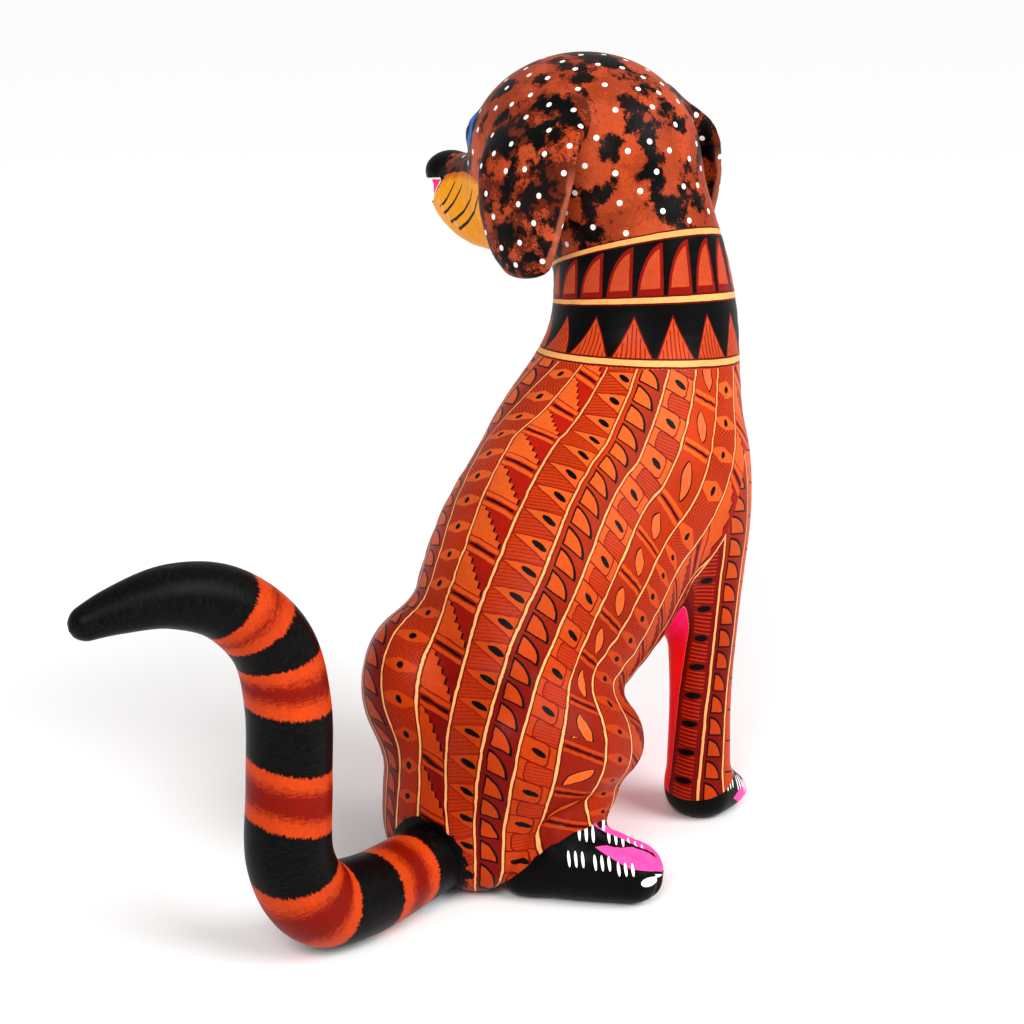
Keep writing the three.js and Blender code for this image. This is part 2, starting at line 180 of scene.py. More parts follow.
def hindLegLimbs(kneeLift, footTurn, heelTuck):
    def placed(stations):
        return [(x + heelTuck * (1 - easeIn(z, 8, 36)), y, z + kneeLift * easeIn(z, 8, 36), w, d)
                for x, y, z, w, d in stations]
    turned = [(*footSpot(s[:3], footTurn, heelTuck), *s[3:]) for s in dogSizes["foot"]]
    return (Limb(placed(dogSizes["thigh"]), (0.9, -0.4, 0)), Limb(placed(dogSizes["shank"]), (0.7, 0.7, 0)),
            Limb(turned, (0.6, -0.8, 0)), kneeLift)


trunk = Limb(dogSizes["trunk"], (1, 0, 0))
neck = Limb(dogSizes["neck"], (1, 0, 0))
foreLeg = Limb(dogSizes["foreLeg"], (1, 0, 0))
forePaw = Limb(dogSizes["forePaw"], (1, 0, 0))
muzzle = Limb(dogSizes["muzzle"], (0, 1, 0))
ear = Limb(dogSizes["ear"], (1, 0, 0), 12)
rightHind = hindLegLimbs(0, 0, 0)
leftHind = hindLegLimbs(dogSizes["leftKneeLift"], dogSizes["leftFootTurn"], dogSizes["leftHeelTuck"])


def grounded(d, z, width):
    return -blend(-d, z + dogSizes["groundDip"], width)


def pawPlace(p):
    # Forward from the heel, across the paw and up, on whichever paw is nearest; both pairs mirror.
    places = []
    q = p * np.where(p[:, :1] < 0, -1, 1) * np.array((1, 0, 0)) + p * np.array((0, 1, 1))
    heelX, heelY = dogSizes["forePaw"][0][:2]
    places.append(np.stack([heelY - q[:, 1], q[:, 0] - heelX, p[:, 2]], 1))
    for limbs, r in ((rightHind, p), (leftHind, mirrored(p))):
        heel, toe = limbs[2].run[0, :2], limbs[2].run[-1, :2]
        way = (toe - heel) / np.linalg.norm(toe - heel)
        off = r[:, :2] - heel
        places.append(np.stack([off @ way, off @ np.array((-way[1], way[0])), p[:, 2]], 1))
    isFront = p[:, 1] < -45
    place = np.where((p[:, 0] < 0)[:, None], places[1], places[2])
    return np.where(isFront[:, None], places[0], place), isFront


def toeGrooves(p):
    place, isFront = pawPlace(p)
    start = np.where(isFront, 4, 17)
    ramp = easeIn(place[:, 0], start, start + 8) * (1 - easeIn(place[:, 2], 22, 26))
    lines = sum(np.exp(-((place[:, 1] - x) / 1.0) ** 2) for x in dogSizes["toeLines"])
    return dogSizes["toeDepth"] * ramp * lines


def hindDistance(p, body, limbs):
    thigh, shank, foot = (limb.distance(p) for limb in limbs[:3])
    upper = blend(body, thigh, 6)
    lower = grounded(blend(shank, foot, 4), p[:, 2], dogSizes["soleRounding"])
    kneeward = easeIn(p[:, 2], 24 + limbs[3], 38 + limbs[3])
    depth, width = dogSizes["crease"]
    crease = (1 - kneeward) * depth * np.exp(-((upper - lower) / width) ** 2)
    return blend(upper, lower, 1.5 + 3.5 * kneeward) + crease


def mouthPlace(q):
    # Inside the open mouth, in millimetres; the notch widens forwards from its corner.
    x, z = dogSizes["mouthCorner"]
    reach = q[:, 0] - x
    half = np.clip(reach * 0.46, -5, 3.3)
    return 0.9 * (half - np.abs(q[:, 2] - z + half))


def headDistance(p):
    q = toHead(p)
    d = blend(ballDistance(q, np.array(dogSizes["skull"])), muzzle.distance(q), 10)
    d = blend(d, ballDistance(q, np.array(dogSizes["nose"])), 2.5)
    d = np.maximum(d, np.minimum(mouthPlace(q), d + dogSizes["mouthDepth"]))
    tuck = np.where(q[:, 1] < 0, dogSizes["farEarTuck"], 0)
    q[:, 1] = np.abs(q[:, 1])
    d = blend(d, ballDistance(q, np.array(dogSizes["eye"])), 1)
    q[:, 1] += tuck
    return blend(d, ear.distance(q), 4)


def dogDistance(p):
    d = blend(grounded(trunk.distance(p), p[:, 2], dogSizes["seatRounding"]), neck.distance(p), 24)
    d = blend(d, headDistance(p), 8)
    q = p.copy()
    q[:, 0] = np.abs(q[:, 0])
    frontLegs = blend(foreLeg.distance(q), forePaw.distance(q), 5)
    d = blend(d, grounded(frontLegs, p[:, 2], dogSizes["soleRounding"]), 8)
    d = hindDistance(p, d, rightHind)
    d = hindDistance(mirrored(p), d, leftHind)
    low = p[:, 2] < 28
    if low.any():
        d[low] += toeGrooves(p[low])
    return np.maximum(d, -dogSizes["rootDepth"] - p[:, 2])


def sampleNear(field, low, high, coarse, fine):
    # Values on a fine grid, worked out only where the coarse grid shows that the surface is near.
    counts = np.ceil((high - low) / coarse).astype(int)
    per = int(round(coarse / fine))
    axes = [low[k] + coarse * (np.arange(counts[k]) + 0.5) for k in range(3)]
    middles = np.stack(np.meshgrid(*axes, indexing="ij"), -1)
    rough = field(middles.reshape(-1, 3)).reshape(counts)
    values = np.where(rough < 0, -9.0, 9.0)
    for axis in range(3):
        values = np.repeat(values, per, axis)
    values = np.pad(values, ((0, 1), (0, 1), (0, 1)), mode="edge")
    wanted = np.zeros(values.shape, bool)
    for i, j, k in np.argwhere(np.abs(rough) < coarse * 1.3):
        wanted[i * per:i * per + per + 1, j * per:j * per + per + 1, k * per:k * per + per + 1] = True
    step = coarse / per
    values[wanted] = field(low + np.argwhere(wanted) * step)
    return values, step


def netOver(values, low, step):
    # One corner in each cell that the surface crosses, and a quad over each crossed grid edge.
    inside = values < 0
    total = np.zeros(tuple(np.array(values.shape) - 1) + (3,))
    hits = np.zeros(total.shape[:3])
    crossings = []
    for axis in range(3):
        first = [slice(None)] * 3
        second = [slice(None)] * 3
        first[axis], second[axis] = slice(None, -1), slice(1, None)
        a, b = values[tuple(first)], values[tuple(second)]
        cross = np.argwhere((a < 0) != (b < 0))
        va, vb = a[tuple(cross.T)], b[tuple(cross.T)]
        place = cross.astype(float)
        place[:, axis] += va / (va - vb)
        crossings.append((axis, cross, va < 0))
        others = [k for k in range(3) if k != axis]
        for da in (0, 1):
            for db in (0, 1):
                cell = cross.copy()
                cell[:, others[0]] -= da
                cell[:, others[1]] -= db
                ok = (cell >= 0).all(1) & (cell < hits.shape).all(1)
                np.add.at(total, tuple(cell[ok].T), place[ok])
                np.add.at(hits, tuple(cell[ok].T), 1)
    used = hits > 0
    index = np.full(hits.shape, -1)
    index[used] = np.arange(used.sum())
    corners = low + total[used] / hits[used][:, None] * step
    quads = []
    for axis, cross, startsInside in crossings:
        u, v = (axis + 1) % 3, (axis + 2) % 3
        ring = []
        for da, db in ((0, 0), (1, 0), (1, 1), (0, 1)):
            cell = cross.copy()
            cell[:, u] -= da
            cell[:, v] -= db
            ring.append(index[tuple(cell.T)])
        ring = np.stack(ring, 1)
        ring[~startsInside] = ring[~startsInside][:, ::-1]
        quads.append(ring)
    return corners, np.concatenate(quads)


def settle(corners, field, passes=2, h=0.15):
    for _ in range(passes):
        d = field(corners)
        slope = np.stack([(field(corners + h * np.eye(3)[k]) - d) / h for k in range(3)], 1)
        steep = np.maximum((slope ** 2).sum(1), 0.2)
        move = np.clip(-d / steep, -1, 1)
        corners = corners + slope * move[:, None]
    return corners


def meshObject(name, corners, faces):
    mesh = bpy.data.meshes.new(name)
    mesh.from_pydata((corners * mm).tolist(), [], faces)
    mesh.update()
    mesh.shade_smooth()
    piece = bpy.data.objects.new(name, mesh)
    bpy.context.collection.objects.link(piece)
    return piece


def addValue(piece, name, values):
    values = np.asarray(values, float)
    if values.ndim == 1:
        piece.data.attributes.new(name, "FLOAT", "POINT").data.foreach_set("value", values)
    else:
        piece.data.attributes.new(name, "FLOAT_VECTOR", "POINT").data.foreach_set("vector", values.ravel())


# How the painted bands lie on the dog.
paintSizes = {
    "bandAngle": 18.0,
    # Lines across the bands at several distances up the back: (angle in bands, number of the line).
    "bandRows": {
        10: ((-0.4, -0.5), (1.03, 0.5), (1.9, 1.5), (2.8, 2.5), (5.3, 4.5)),
        22: ((-1.34, -1.5), (-0.25, -0.5), (0.83, 0.5), (1.87, 1.5), (2.8, 2.5), (5.14, 4.5)),
        45: ((-2.44, -2.5), (-1.45, -1.5), (-0.66, -0.5), (0.5, 0.5), (1.79, 1.5), (2.62, 2.5), (3.61, 3.5),
             (4.97, 4.5)),
        73: ((-0.83, -0.5), (0.44, 0.5), (1.72, 1.5), (2.82, 2.5), (3.68, 3.5), (4.24, 4.5)),
        90: ((-1.65, -1.5), (-0.69, -0.5), (0.51, 0.5), (1.82, 1.5), (2.77, 2.5), (3.5, 3.5), (4.47, 4.5)),
        131: ((-2.03, -1.5), (-0.77, -0.5), (0.46, 0.5), (1.48, 1.5), (2.27, 2.5), (3.05, 3.5), (4.04, 4.5),
              (4.9, 5.5), (5.7, 6.5)),
        166: ((-0.62, -1.5), (0.14, -0.5), (0.85, 0.5), (1.66, 1.5), (2.56, 2.5), (3.43, 3.5), (4.33, 4.5),
              (5.24, 5.5)),
    },
    # A point on each ring of the neck, and how the ring climbs with X and with Y.
    "collarPoint": [(0, -88, 134.8), (0, -88, 151), (3, -88, 165)],
    "collarRise": [(-0.026, 0.11), (-0.12, 0.109), (-0.321, 0.126)],
    "bellyAngle": 128.0,
    "bellyTop": 82.0,
    # Height of the painted shade that turns the pink to red towards the ground, and its spread.
    "bellyShade": (64, 22),
    "legBandAngle": 46.0,
    # Height, then the angle of the rear band's inner and outer line.
    "legLines": ((10, -30, 31), (38, -12, 43), (60, 10, 52), (100, 14, 54)),
    # Angle and height of the point where a front leg's bands end, and the slope and reach to each side.
    "legApex": (52.0, 88.0),
    "legSlopes": ((0.33, 70), (0.45, 50)),
    "legFront": (-50, -60),
    # Height of the black on a front paw and its slope, then how far it climbs on the feet and at the heels.
    "pawRise": (11.0, 0.3),
    "bootTop": (0.6, 0.8),
    "heel": (10.5, 0.85),
    # Radius and height of the black round the tail's root.
    "patch": (12.5, 12.0),
    "dotSpacing": 6.6,
    "dotRadius": 0.82,
    "dotTries": 9000,
}


def warpedBand(u, v):
    # The painter's lines are uneven; between the measured rows they run straight.
    rows = sorted(paintSizes["bandRows"].items())
    numbers = []
    for _, lines in rows:
        raw = [-10.0] + [a for a, _ in lines] + [10.0]
        wanted = [-10.0] + [b for _, b in lines] + [10.0]
        numbers.append(np.interp(u, raw, wanted))
    numbers = np.stack(numbers)
    place = np.interp(v, [height for height, _ in rows], np.arange(len(rows)))
    low = np.minimum(place.astype(int), len(rows) - 2)
    part = place - low
    each = np.arange(len(u))
    return numbers[low, each] * (1 - part) + numbers[low + 1, each] * part


def trunkCoordinates(p):
    # Angle round the trunk in bands, distance along its back, and the width of a band there.
    axis = Limb(dogSizes["trunk"] + dogSizes["neck"][1:3], (1, 0, 0), 14).run
    way = np.gradient(axis[:, :3], axis=0)
    way /= np.linalg.norm(way, axis=1)[:, None]
    back = np.stack([np.zeros(len(way)), way[:, 2], -way[:, 1]], 1)
    spine = axis[:, :3] + back * axis[:, 4:5]
    along = np.concatenate([[0], np.cumsum(np.linalg.norm(np.diff(spine, axis=0), axis=1))])
    best = np.full(len(p), 1e9)
    at = np.zeros(len(p))
    for n in range(len(axis) - 1):
        step = axis[n + 1, :3] - axis[n, :3]
        t = np.clip((p - axis[n, :3]) @ step / (step @ step), 0, 1)
        gap = ((p - axis[n, :3] - t[:, None] * step) ** 2).sum(1)
        closer = gap < best
        best[closer] = gap[closer]
        at[closer] = n + t[closer]
    row = np.arange(len(axis))
    pick = lambda columns: np.stack([np.interp(at, row, columns[:, k]) for k in range(3)], 1)
    off = p - pick(axis[:, :3])
    angle = np.degrees(np.arctan2(-off[:, 0], (off * pick(back)).sum(1)))
    width = np.linalg.norm(off, axis=1) * math.radians(paintSizes["bandAngle"])
    return angle / paintSizes["bandAngle"], np.interp(at, row, along), width


def legCoordinates(p):
    # Angle round a front leg from its back outwards, height, and the width of a band.
    q = p.copy()
    q[:, 0] = np.abs(q[:, 0])
    run = foreLeg.run
    order = np.argsort(run[:, 2])
    cx, cy = (np.interp(q[:, 2], run[order, 2], run[order, k]) for k in (0, 1))
    angle = np.degrees(np.arctan2(q[:, 0] - cx, q[:, 1] - cy))
    width = np.hypot(q[:, 0] - cx, q[:, 1] - cy) * math.radians(paintSizes["legBandAngle"])
    return angle, q[:, 2], width


def legBands(angle, height):
    # Band number round a front leg, and how many degrees a place lies inside the plain inner side.
    rows = np.array(paintSizes["legLines"], float)
    first, second = (np.interp(height, rows[:, 0], rows[:, k]) for k in (1, 2))
    onward = np.where(angle < -100, angle + 360, angle)
    step = paintSizes["legBandAngle"]
    number = np.where(onward < second, (onward - first) / (second - first), 1 + (onward - second) / step)
    inner = np.minimum(first - angle, angle + 360 - second - 3 * step)
    return number, inner


def collarHeight(p):
    # 0, 1 and 2 at the three painted rings of the neck.
    heights = []
    for point, rise in zip(paintSizes["collarPoint"], paintSizes["collarRise"]):
        off = p - np.array(point)
        heights.append(off[:, 2] - off[:, 0] * rise[0] - off[:, 1] * rise[1])
    first, second, third = heights
    lower = first / np.maximum(first - second, 1)
    upper = 1 + second / np.maximum(second - third, 1)
    return np.where(second < 0, lower, upper)


def earPlaces(q):
    # How near a place is to an ear, and its distance from the ear's rear edge.
    r = q.copy()
    r[:, 1] = np.abs(r[:, 1]) + np.where(q[:, 1] < 0, dogSizes["farEarTuck"], 0)
    rows = np.array(dogSizes["ear"], float)[::-1]
    middle, wide = (np.interp(r[:, 2], rows[:, 2], rows[:, k]) for k in (0, 3))
    return ear.distance(r), r[:, 0] - middle + wide


def scatterDots(p, allowed, seed=5):
    # Spots at least one spacing apart, then the nearest of them to every corner.
    order = np.random.default_rng(seed).permutation(np.flatnonzero(allowed))
    spots = np.zeros((0, 3))
    for n in order[:paintSizes["dotTries"]]:
        if not len(spots) or ((spots - p[n]) ** 2).sum(1).min() > paintSizes["dotSpacing"] ** 2:
            spots = np.vstack([spots, p[n]])
    nearest = np.zeros((len(p), 3))
    gap = np.full(len(p), 1e9)
    for spot in spots:
        distance = np.linalg.norm(p - spot, axis=1)
        closer = distance < gap
        gap[closer] = distance[closer]
        nearest[closer] = spot
    return nearest, gap


def pawAround(p):
    # Forward from the heel, angle round the foot from its top, and height.
    place, isFront = pawPlace(p)
    angle = np.degrees(np.arctan2(place[:, 1], place[:, 2] - np.where(isFront, 2, 8)))
    forward = np.where(isFront, 20 + (place[:, 0] - 3) * 1.15, place[:, 0])
    return np.stack([forward, angle, place[:, 2]], 1)


def evened(piece, values, rounds):
    # Averages values over neighbouring corners, which irons out folds in them.
    edges = np.empty(len(piece.data.edges) * 2, int)
    piece.data.edges.foreach_get("vertices", edges)
    a, b = edges[::2], edges[1::2]
    count = np.bincount(edges, minlength=len(values))
    for _ in range(rounds):
        total = np.bincount(a, values[b], len(values)) + np.bincount(b, values[a], len(values))
        values = 0.4 * values + 0.6 * total / np.maximum(count, 1)
    return values


def legTop(p, angle, height):
    # How far a place lies under the pointed top of a front leg's own bands.
    apexAngle, apexHeight = paintSizes["legApex"]
    (innerSlope, innerReach), (outerSlope, outerReach) = paintSizes["legSlopes"]
    away = (angle - apexAngle + 180) % 360 - 180
    fall = np.where(away < 0, np.minimum(-away, innerReach) * innerSlope,
                    -np.minimum(away, outerReach) * outerSlope)
    inFront = easeIn(p[:, 1], *paintSizes["legFront"])
    return (apexHeight - fall - height) * inFront - 20 * (1 - inFront)


def pinkPlaces(p, u, width, inner):
    # How far a place lies inside the pink: the belly, or the inner side of a front leg below it.
    inFront = easeIn(p[:, 1], *paintSizes["legFront"])
    around = np.abs(u) * paintSizes["bandAngle"]
    belly = (around - paintSizes["bellyAngle"]) * width / paintSizes["bandAngle"]
    belly = np.minimum(belly, paintSizes["bellyTop"] - p[:, 2])
    onLeg = np.minimum(inFront * 40 - 20, paintSizes["bellyTop"] - 6 - p[:, 2])
    return np.where(onLeg > 0, np.minimum(inner, onLeg), belly)


def bootPlaces(p):
    # How far a place lies inside a paw's black: by height in front, by nearness to the foot behind.
    far = -30.0
    low, rise = paintSizes["pawRise"]
    front = np.where(p[:, 1] < -50, low - rise * (p[:, 1] + 76) - p[:, 2], far)
    hind = np.full(len(p), far)
    share, extra = paintSizes["bootTop"]
    for limbs, q in ((rightHind, p), (leftHind, mirrored(p))):
        foot = limbs[2].distance(q)
        other = np.minimum(limbs[1].distance(q), np.minimum(limbs[0].distance(q), trunk.distance(q)))
        hind = np.maximum(hind, share * (other - foot) + extra)
    place, isFront = pawPlace(p)
    heelTop, heelRise = paintSizes["heel"]
    heel = np.minimum(heelTop + (place[:, 0] - 2) * heelRise - p[:, 2], -place[:, 1] - 1) * 0.7
    hind = np.where(isFront | (place[:, 0] > 14), hind, np.maximum(hind, heel))
    return np.maximum(front, hind)


def headAttributes(piece, p):
    collar = collarHeight(p)
    place = toHead(p)
    earGap, rim = earPlaces(place)
    face = np.minimum(muzzle.distance(place), ballDistance(place, np.array(dogSizes["skull"])))
    onFace = np.where(place[:, 0] > 12, neck.distance(p) - face - 6, -9)
    eyeBall = np.array(dogSizes["eye"])
    side = place * np.array((1, 0, 1)) + np.abs(place) * np.array((0, 1, 0))
    eyeGap = ballDistance(side, eyeBall)
    addValue(piece, "collar", collar)
    addValue(piece, "headEdge", np.maximum(1.6 - earGap, onFace))
    addValue(piece, "headPlace", place)
    addValue(piece, "earPlace", np.stack([earGap, rim, place[:, 1]], 1))
    addValue(piece, "eyeGap", eyeGap)
    # White dots keep off the yellow, the nose and the eyes.
    yellow = (place[:, 2] < -1) & (place[:, 0] > 20) & (earGap > 2)
    nose = place[:, 0] > 53 + 0.72 * (place[:, 2] + 2.2)
    onHead = ((collar > 2.15) | (earGap < 1)) & (p[:, 2] > 150)
    nearest, gap = scatterDots(p, onHead & ~yellow & ~nose & (eyeGap > 1.5))
    addValue(piece, "dotCentre", nearest * mm)
    addValue(piece, "dotNear", gap)


def paintAttributes(piece, p):
    # What the paint reads at every corner: how the bands run, and how far inside each coat it lies.
    u, v, width = trunkCoordinates(p)
    v = evened(piece, v, 90)
    turn = np.radians(warpedBand(u, v) * paintSizes["bandAngle"])
    sine, cosine = (evened(piece, f(turn), 16) for f in (np.sin, np.cos))
    addValue(piece, "bandTurn", np.stack([sine, cosine, v], 1))
    addValue(piece, "bandWidth", width)
    angle, height, legWidth = legCoordinates(p)
    number, inner = legBands(angle, height)
    addValue(piece, "legBand", np.stack([number, height, legWidth], 1))
    addValue(piece, "legEdge", legTop(p, angle, height))
    inner = inner * legWidth / paintSizes["legBandAngle"]
    addValue(piece, "pinkEdge", pinkPlaces(p, u, width, inner))
    addValue(piece, "pawEdge", bootPlaces(p))
    addValue(piece, "pawAround", pawAround(p))
    headAttributes(piece, p)


def frameBox(node):
    low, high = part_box(node)
    return np.array(low) / mm, np.array(high) / mm


def buildDog():
    coarse = dogSizes["coarseStep"]
    fine = dogSizes["netStep"]
    netLow, netHigh = (np.array(dogSizes[name], float) for name in ("netLow", "netHigh"))
    values, step = sampleNear(dogDistance, netLow, netHigh, coarse, fine)
    corners, quads = netOver(values, netLow, step)
    corners = settle(corners, dogDistance)
    low, high = frameBox("dog")
    corners = np.clip(corners, low + (boxGap, boxGap, 0), high - boxGap)
    piece = meshObject("paintedDog", corners, quads.tolist())
    paintAttributes(piece, corners)
    return piece


def buildTail():
    rings, sides = tailSizes["rings"], tailSizes["sides"]
    run = smoothRun([(x, y, z, r, 0) for x, y, z, r in tailSizes["stations"]], 24)
    length = np.concatenate([[0], np.cumsum(np.linalg.norm(np.diff(run[:, :3], axis=0), axis=1))])
    at = np.linspace(0, length[-1], rings)
    path = np.stack([np.interp(at, length, run[:, k]) for k in range(4)], 1)
    way = np.gradient(path[:, :3], axis=0)
    way /= np.linalg.norm(way, axis=1)[:, None]
    side = np.array((1.0, 0, 0))
    corners, along, angles = [], [], []
    turn = np.linspace(0, 2 * math.pi, sides, endpoint=False)
    for n in range(rings):
        side = side - way[n] * (side @ way[n])
        side /= np.linalg.norm(side)
        up = np.cross(way[n], side)
        # The tip is rounded off over its last millimetres.
        fromTip = max(1 - (at[-1] - at[n]) / tailSizes["tipLength"], 0)
        radius = path[n, 3] * math.sqrt(max(1 - fromTip ** 2, 0.0004))
        corners.append(path[n, :3] + radius * (np.outer(np.cos(turn), side) + np.outer(np.sin(turn), up)))
        along += [at[n]] * sides
        angles += list(np.degrees(turn))
    corners = np.concatenate(corners)
    faces = []
    for n in range(rings - 1):
        for k in range(sides):
            a, b = n * sides + k, n * sides + (k + 1) % sides
            faces.append((a, b, b + sides, a + sides))
    ends = [list(range(sides))[::-1], [(rings - 1) * sides + k for k in range(sides)]]
    low, high = frameBox("tail")
    corners = np.clip(corners, low + boxGap, high - boxGap)
    piece = meshObject("bandedTail", corners, faces + ends)
    addValue(piece, "along", np.array(along))
    addValue(piece, "round", np.array(angles))
    return piece


class Paint:
    # A shader value that takes part in sums, so that a motif reads as a formula.
    def __init__(self, tree, socket):
        self.tree = tree
        self.socket = socket

    def math(self, operation, other=None, third=None, clamp=False):
        node = self.tree.nodes.new("ShaderNodeMath")
        node.operation = operation
        node.use_clamp = clamp
        for place, value in enumerate((self, other, third)):
            if isinstance(value, Paint):
                self.tree.links.new(value.socket, node.inputs[place])
            elif value is not None:
                node.inputs[place].default_value = value
        return Paint(self.tree, node.outputs[0])

    def __add__(self, other):
        return self.math("ADD", other)

    def __sub__(self, other):
        return self.math("SUBTRACT", other)

    def __mul__(self, other):
        return self.math("MULTIPLY", other)

    def __truediv__(self, other):
        return self.math("DIVIDE", other)

    def __neg__(self):
        return self.math("MULTIPLY", -1)

    def __lt__(self, other):
        return self.math("LESS_THAN", other)

    def __gt__(self, other):
        return self.math("GREATER_THAN", other)

    def __and__(self, other):
        return self.math("MULTIPLY", other)

    def __or__(self, other):
        return self.math("MAXIMUM", other)

    def abs(self):
        return self.math("ABSOLUTE")

    def floor(self):
        return self.math("FLOOR")

    def fract(self):
        return self.math("FRACT")

    def sin(self):
        return self.math("SINE")

    def flip(self):
        return (self * -1) + 1

    def least(self, other):
        return self.math("MINIMUM", other)

    def most(self, other):
        return self.math("MAXIMUM", other)

    def power(self, value):
        return self.math("POWER", value)

    def turnOf(self, other):
        return self.math("ARCTAN2", other)

    def hypot(self, other):
        return (self * self + other * other).math("SQRT")

    def soft(self, width):
        # 1 where the value is negative, over a short soft edge.
        return (self * (-1 / width)).math("ADD", 0.5, clamp=True)

    def near(self, value, spread=0.5):
        return self.math("COMPARE", value, spread)


def mixColors(tree, mask, below, above):
    node = tree.nodes.new("ShaderNodeMix")
    node.data_type = "RGBA"
    tree.links.new(mask.socket, node.inputs[0])
    for place, value in ((6, below), (7, above)):
        if isinstance(value, tuple):
            node.inputs[place].default_value = (*value, 1)
        else:
            tree.links.new(value, node.inputs[place])
    return node.outputs[2]


def attribute(tree, name, kind="Fac"):
    node = tree.nodes.new("ShaderNodeAttribute")
    node.attribute_name = name
    if kind == "Vector":
        return node.outputs["Vector"]
    return Paint(tree, node.outputs["Fac"])


def split(tree, vector):
    node = tree.nodes.new("ShaderNodeSeparateXYZ")
    tree.links.new(vector, node.inputs[0])
    return [Paint(tree, out) for out in node.outputs]


def noise(tree, vector, scale, detail=2.0, roughness=0.5):
    node = tree.nodes.new("ShaderNodeTexNoise")
    tree.links.new(vector, node.inputs["Vector"])
    node.inputs["Scale"].default_value = scale
    node.inputs["Detail"].default_value = detail
    node.inputs["Roughness"].default_value = roughness
    return Paint(tree, node.outputs["Fac"])


def join(tree, x, y, z=0.0):
    node = tree.nodes.new("ShaderNodeCombineXYZ")
    for place, value in enumerate((x, y, z)):
        if isinstance(value, Paint):
            tree.links.new(value.socket, node.inputs[place])
        else:
            node.inputs[place].default_value = value
    return node.outputs[0]


def srgb(*values):
    return tuple(v / 3294.6 if v < 10.3 else ((v / 255 + 0.055) / 1.055) ** 2.4 for v in values)


# Colours as the brush lays them, with a few that stand for painted shade and sheen.
colours = {
    "amber": srgb(208, 86, 28),
    # Amber in painted shade, low on the body.
    "shadedLowAmber": srgb(168, 50, 4),
    "russet": srgb(176, 49, 8),
    "deepRed": srgb(108, 6, 1),
    "darkRed": srgb(84, 6, 2),
    "hatch": srgb(130, 24, 3),
    "salmon": srgb(212, 92, 50),
    "ink": srgb(16, 3, 1),
    "black": srgb(3, 2, 2),
    "cream": srgb(238, 160, 96),
    "ring": srgb(228, 160, 92),
    "terracotta": srgb(176, 70, 36),
    "umber": srgb(66, 18, 6),
    # Painted sheen on black paint.
    "sheenGrey": srgb(22, 13, 12),
    "hotPink": srgb(246, 20, 120),
    "red": srgb(226, 14, 24),
    # Pink in painted shade, low on the belly and inner legs.
    "toePink": srgb(242, 70, 150),
    "yellow": srgb(236, 150, 0),
    "white": srgb(245, 243, 238),
    "blue": srgb(36, 110, 190),
    "tailOrange": srgb(178, 54, 12),
    "tailRed": srgb(112, 12, 1),
    "tailBlack": srgb(20, 16, 15),
    "bandRed": srgb(166, 22, 4),
    "stripeRed": srgb(168, 40, 10),
    "toothOrange": srgb(184, 64, 26),
    "finOrange": srgb(178, 64, 32),
    "finRed": srgb(124, 12, 3),
    "paleTerracotta": srgb(158, 54, 16),
    "earRim": srgb(176, 92, 64),
    "gold": srgb(200, 96, 10),
}


# How far each pattern goes before it repeats, and the ovals' half sizes across and along.
patternSizes = {
    "zigzag": 7.9,
    "fins": 6.7,
    "tabs": 12.2,
    "leaves": 14.6,
    "dots": 8.6,
    "ovals": 8.9,
    "ticks": 9.5,
    "zigzagOval": (2.0, 0.92),
    "tabOval": (2.15, 0.95),
    "stripeOval": (2.1, 0.95),
    "dotRadius": 0.98,
    "tabCorner": 1.7,
    "leafHalf": (2.0, 4.2),
}


def motifGroup(name, draw):
    # A band's pattern from its own coordinates in millimetres; the last input is 1 low on the body, where
    # painted shade deepens and reddens the colours.
    tree = bpy.data.node_groups.new(name, "ShaderNodeTree")
    for label in ("Across", "Along", "Width", "Low"):
        tree.interface.new_socket(label, in_out="INPUT", socket_type="NodeSocketFloat")
    tree.interface.new_socket("Color", in_out="OUTPUT", socket_type="NodeSocketColor")
    inputs = tree.nodes.new("NodeGroupInput")
    outputs = tree.nodes.new("NodeGroupOutput")
    values = [Paint(tree, inputs.outputs[k]) for k in range(4)]
    tree.links.new(draw(tree, *values), outputs.inputs["Color"])
    return tree


def cells(along, period):
    # Along each repeat, in millimetres from its middle.
    return ((along / period).fract() - 0.5) * period


def hatching(value, spacing, share=0.17):
    return ((value / spacing).fract() - 0.5).abs() < share


# Band colours with painted shade: deeper and redder low on the body.
def ground(tree, low):
    return mixColors(tree, low, colours["russet"], colours["deepRed"])


def light(tree, low):
    return mixColors(tree, low, colours["amber"], colours["shadedLowAmber"])


def steppedBand(tree, across, along, width, low):
    slanted = along + across * 0.34
    count = slanted * (slanted * 0.000064 + 0.0588)
    period = (slanted * 0.000128 + 0.0588).power(-1)
    y = (count.fract() - 0.5) * period
    rise = (y / period + 0.32) / 0.64
    stair = (rise * 5.5).floor() / 5.5
    edge = across / width - 0.40 + stair * 0.74
    red = mixColors(tree, low, colours["bandRed"], colours["deepRed"])
    colour = mixColors(tree, edge > 0, light(tree, low), red)
    colour = mixColors(tree, (edge * width).abs() < 0.26, colour, colours["ink"])
    left = period * 0.5 - y.abs()
    colour = mixColors(tree, left < 2.5, colour, red)
    colour = mixColors(tree, (left - 1.45).abs() < 0.62, colour, light(tree, low))
    short = (across.abs() < width * 0.38) & (left < 0.36)
    return mixColors(tree, short, colour, colours["ink"])


def zigzagOvals(tree, across, along, width, low):
    y = cells(along + across * 0.15, patternSizes["zigzag"])
    opening = (across / width + 0.46) * 3.6
    edge = y.abs() - opening
    colour = mixColors(tree, edge > 0, light(tree, low), ground(tree, low * 0.4))
    lines = hatching(along - across * 0.25, 1.05, 0.13) & (edge > 0.2)
    colour = mixColors(tree, lines, colour, colours["hatch"])
    colour = mixColors(tree, edge.abs() < 0.24, colour, colours["hatch"])
    x = across - width * 0.2
    wide, deep = patternSizes["zigzagOval"]
    oval = (x / wide).hypot((y + x * 0.16) / deep)
    return mixColors(tree, oval < 1, colour, colours["black"])


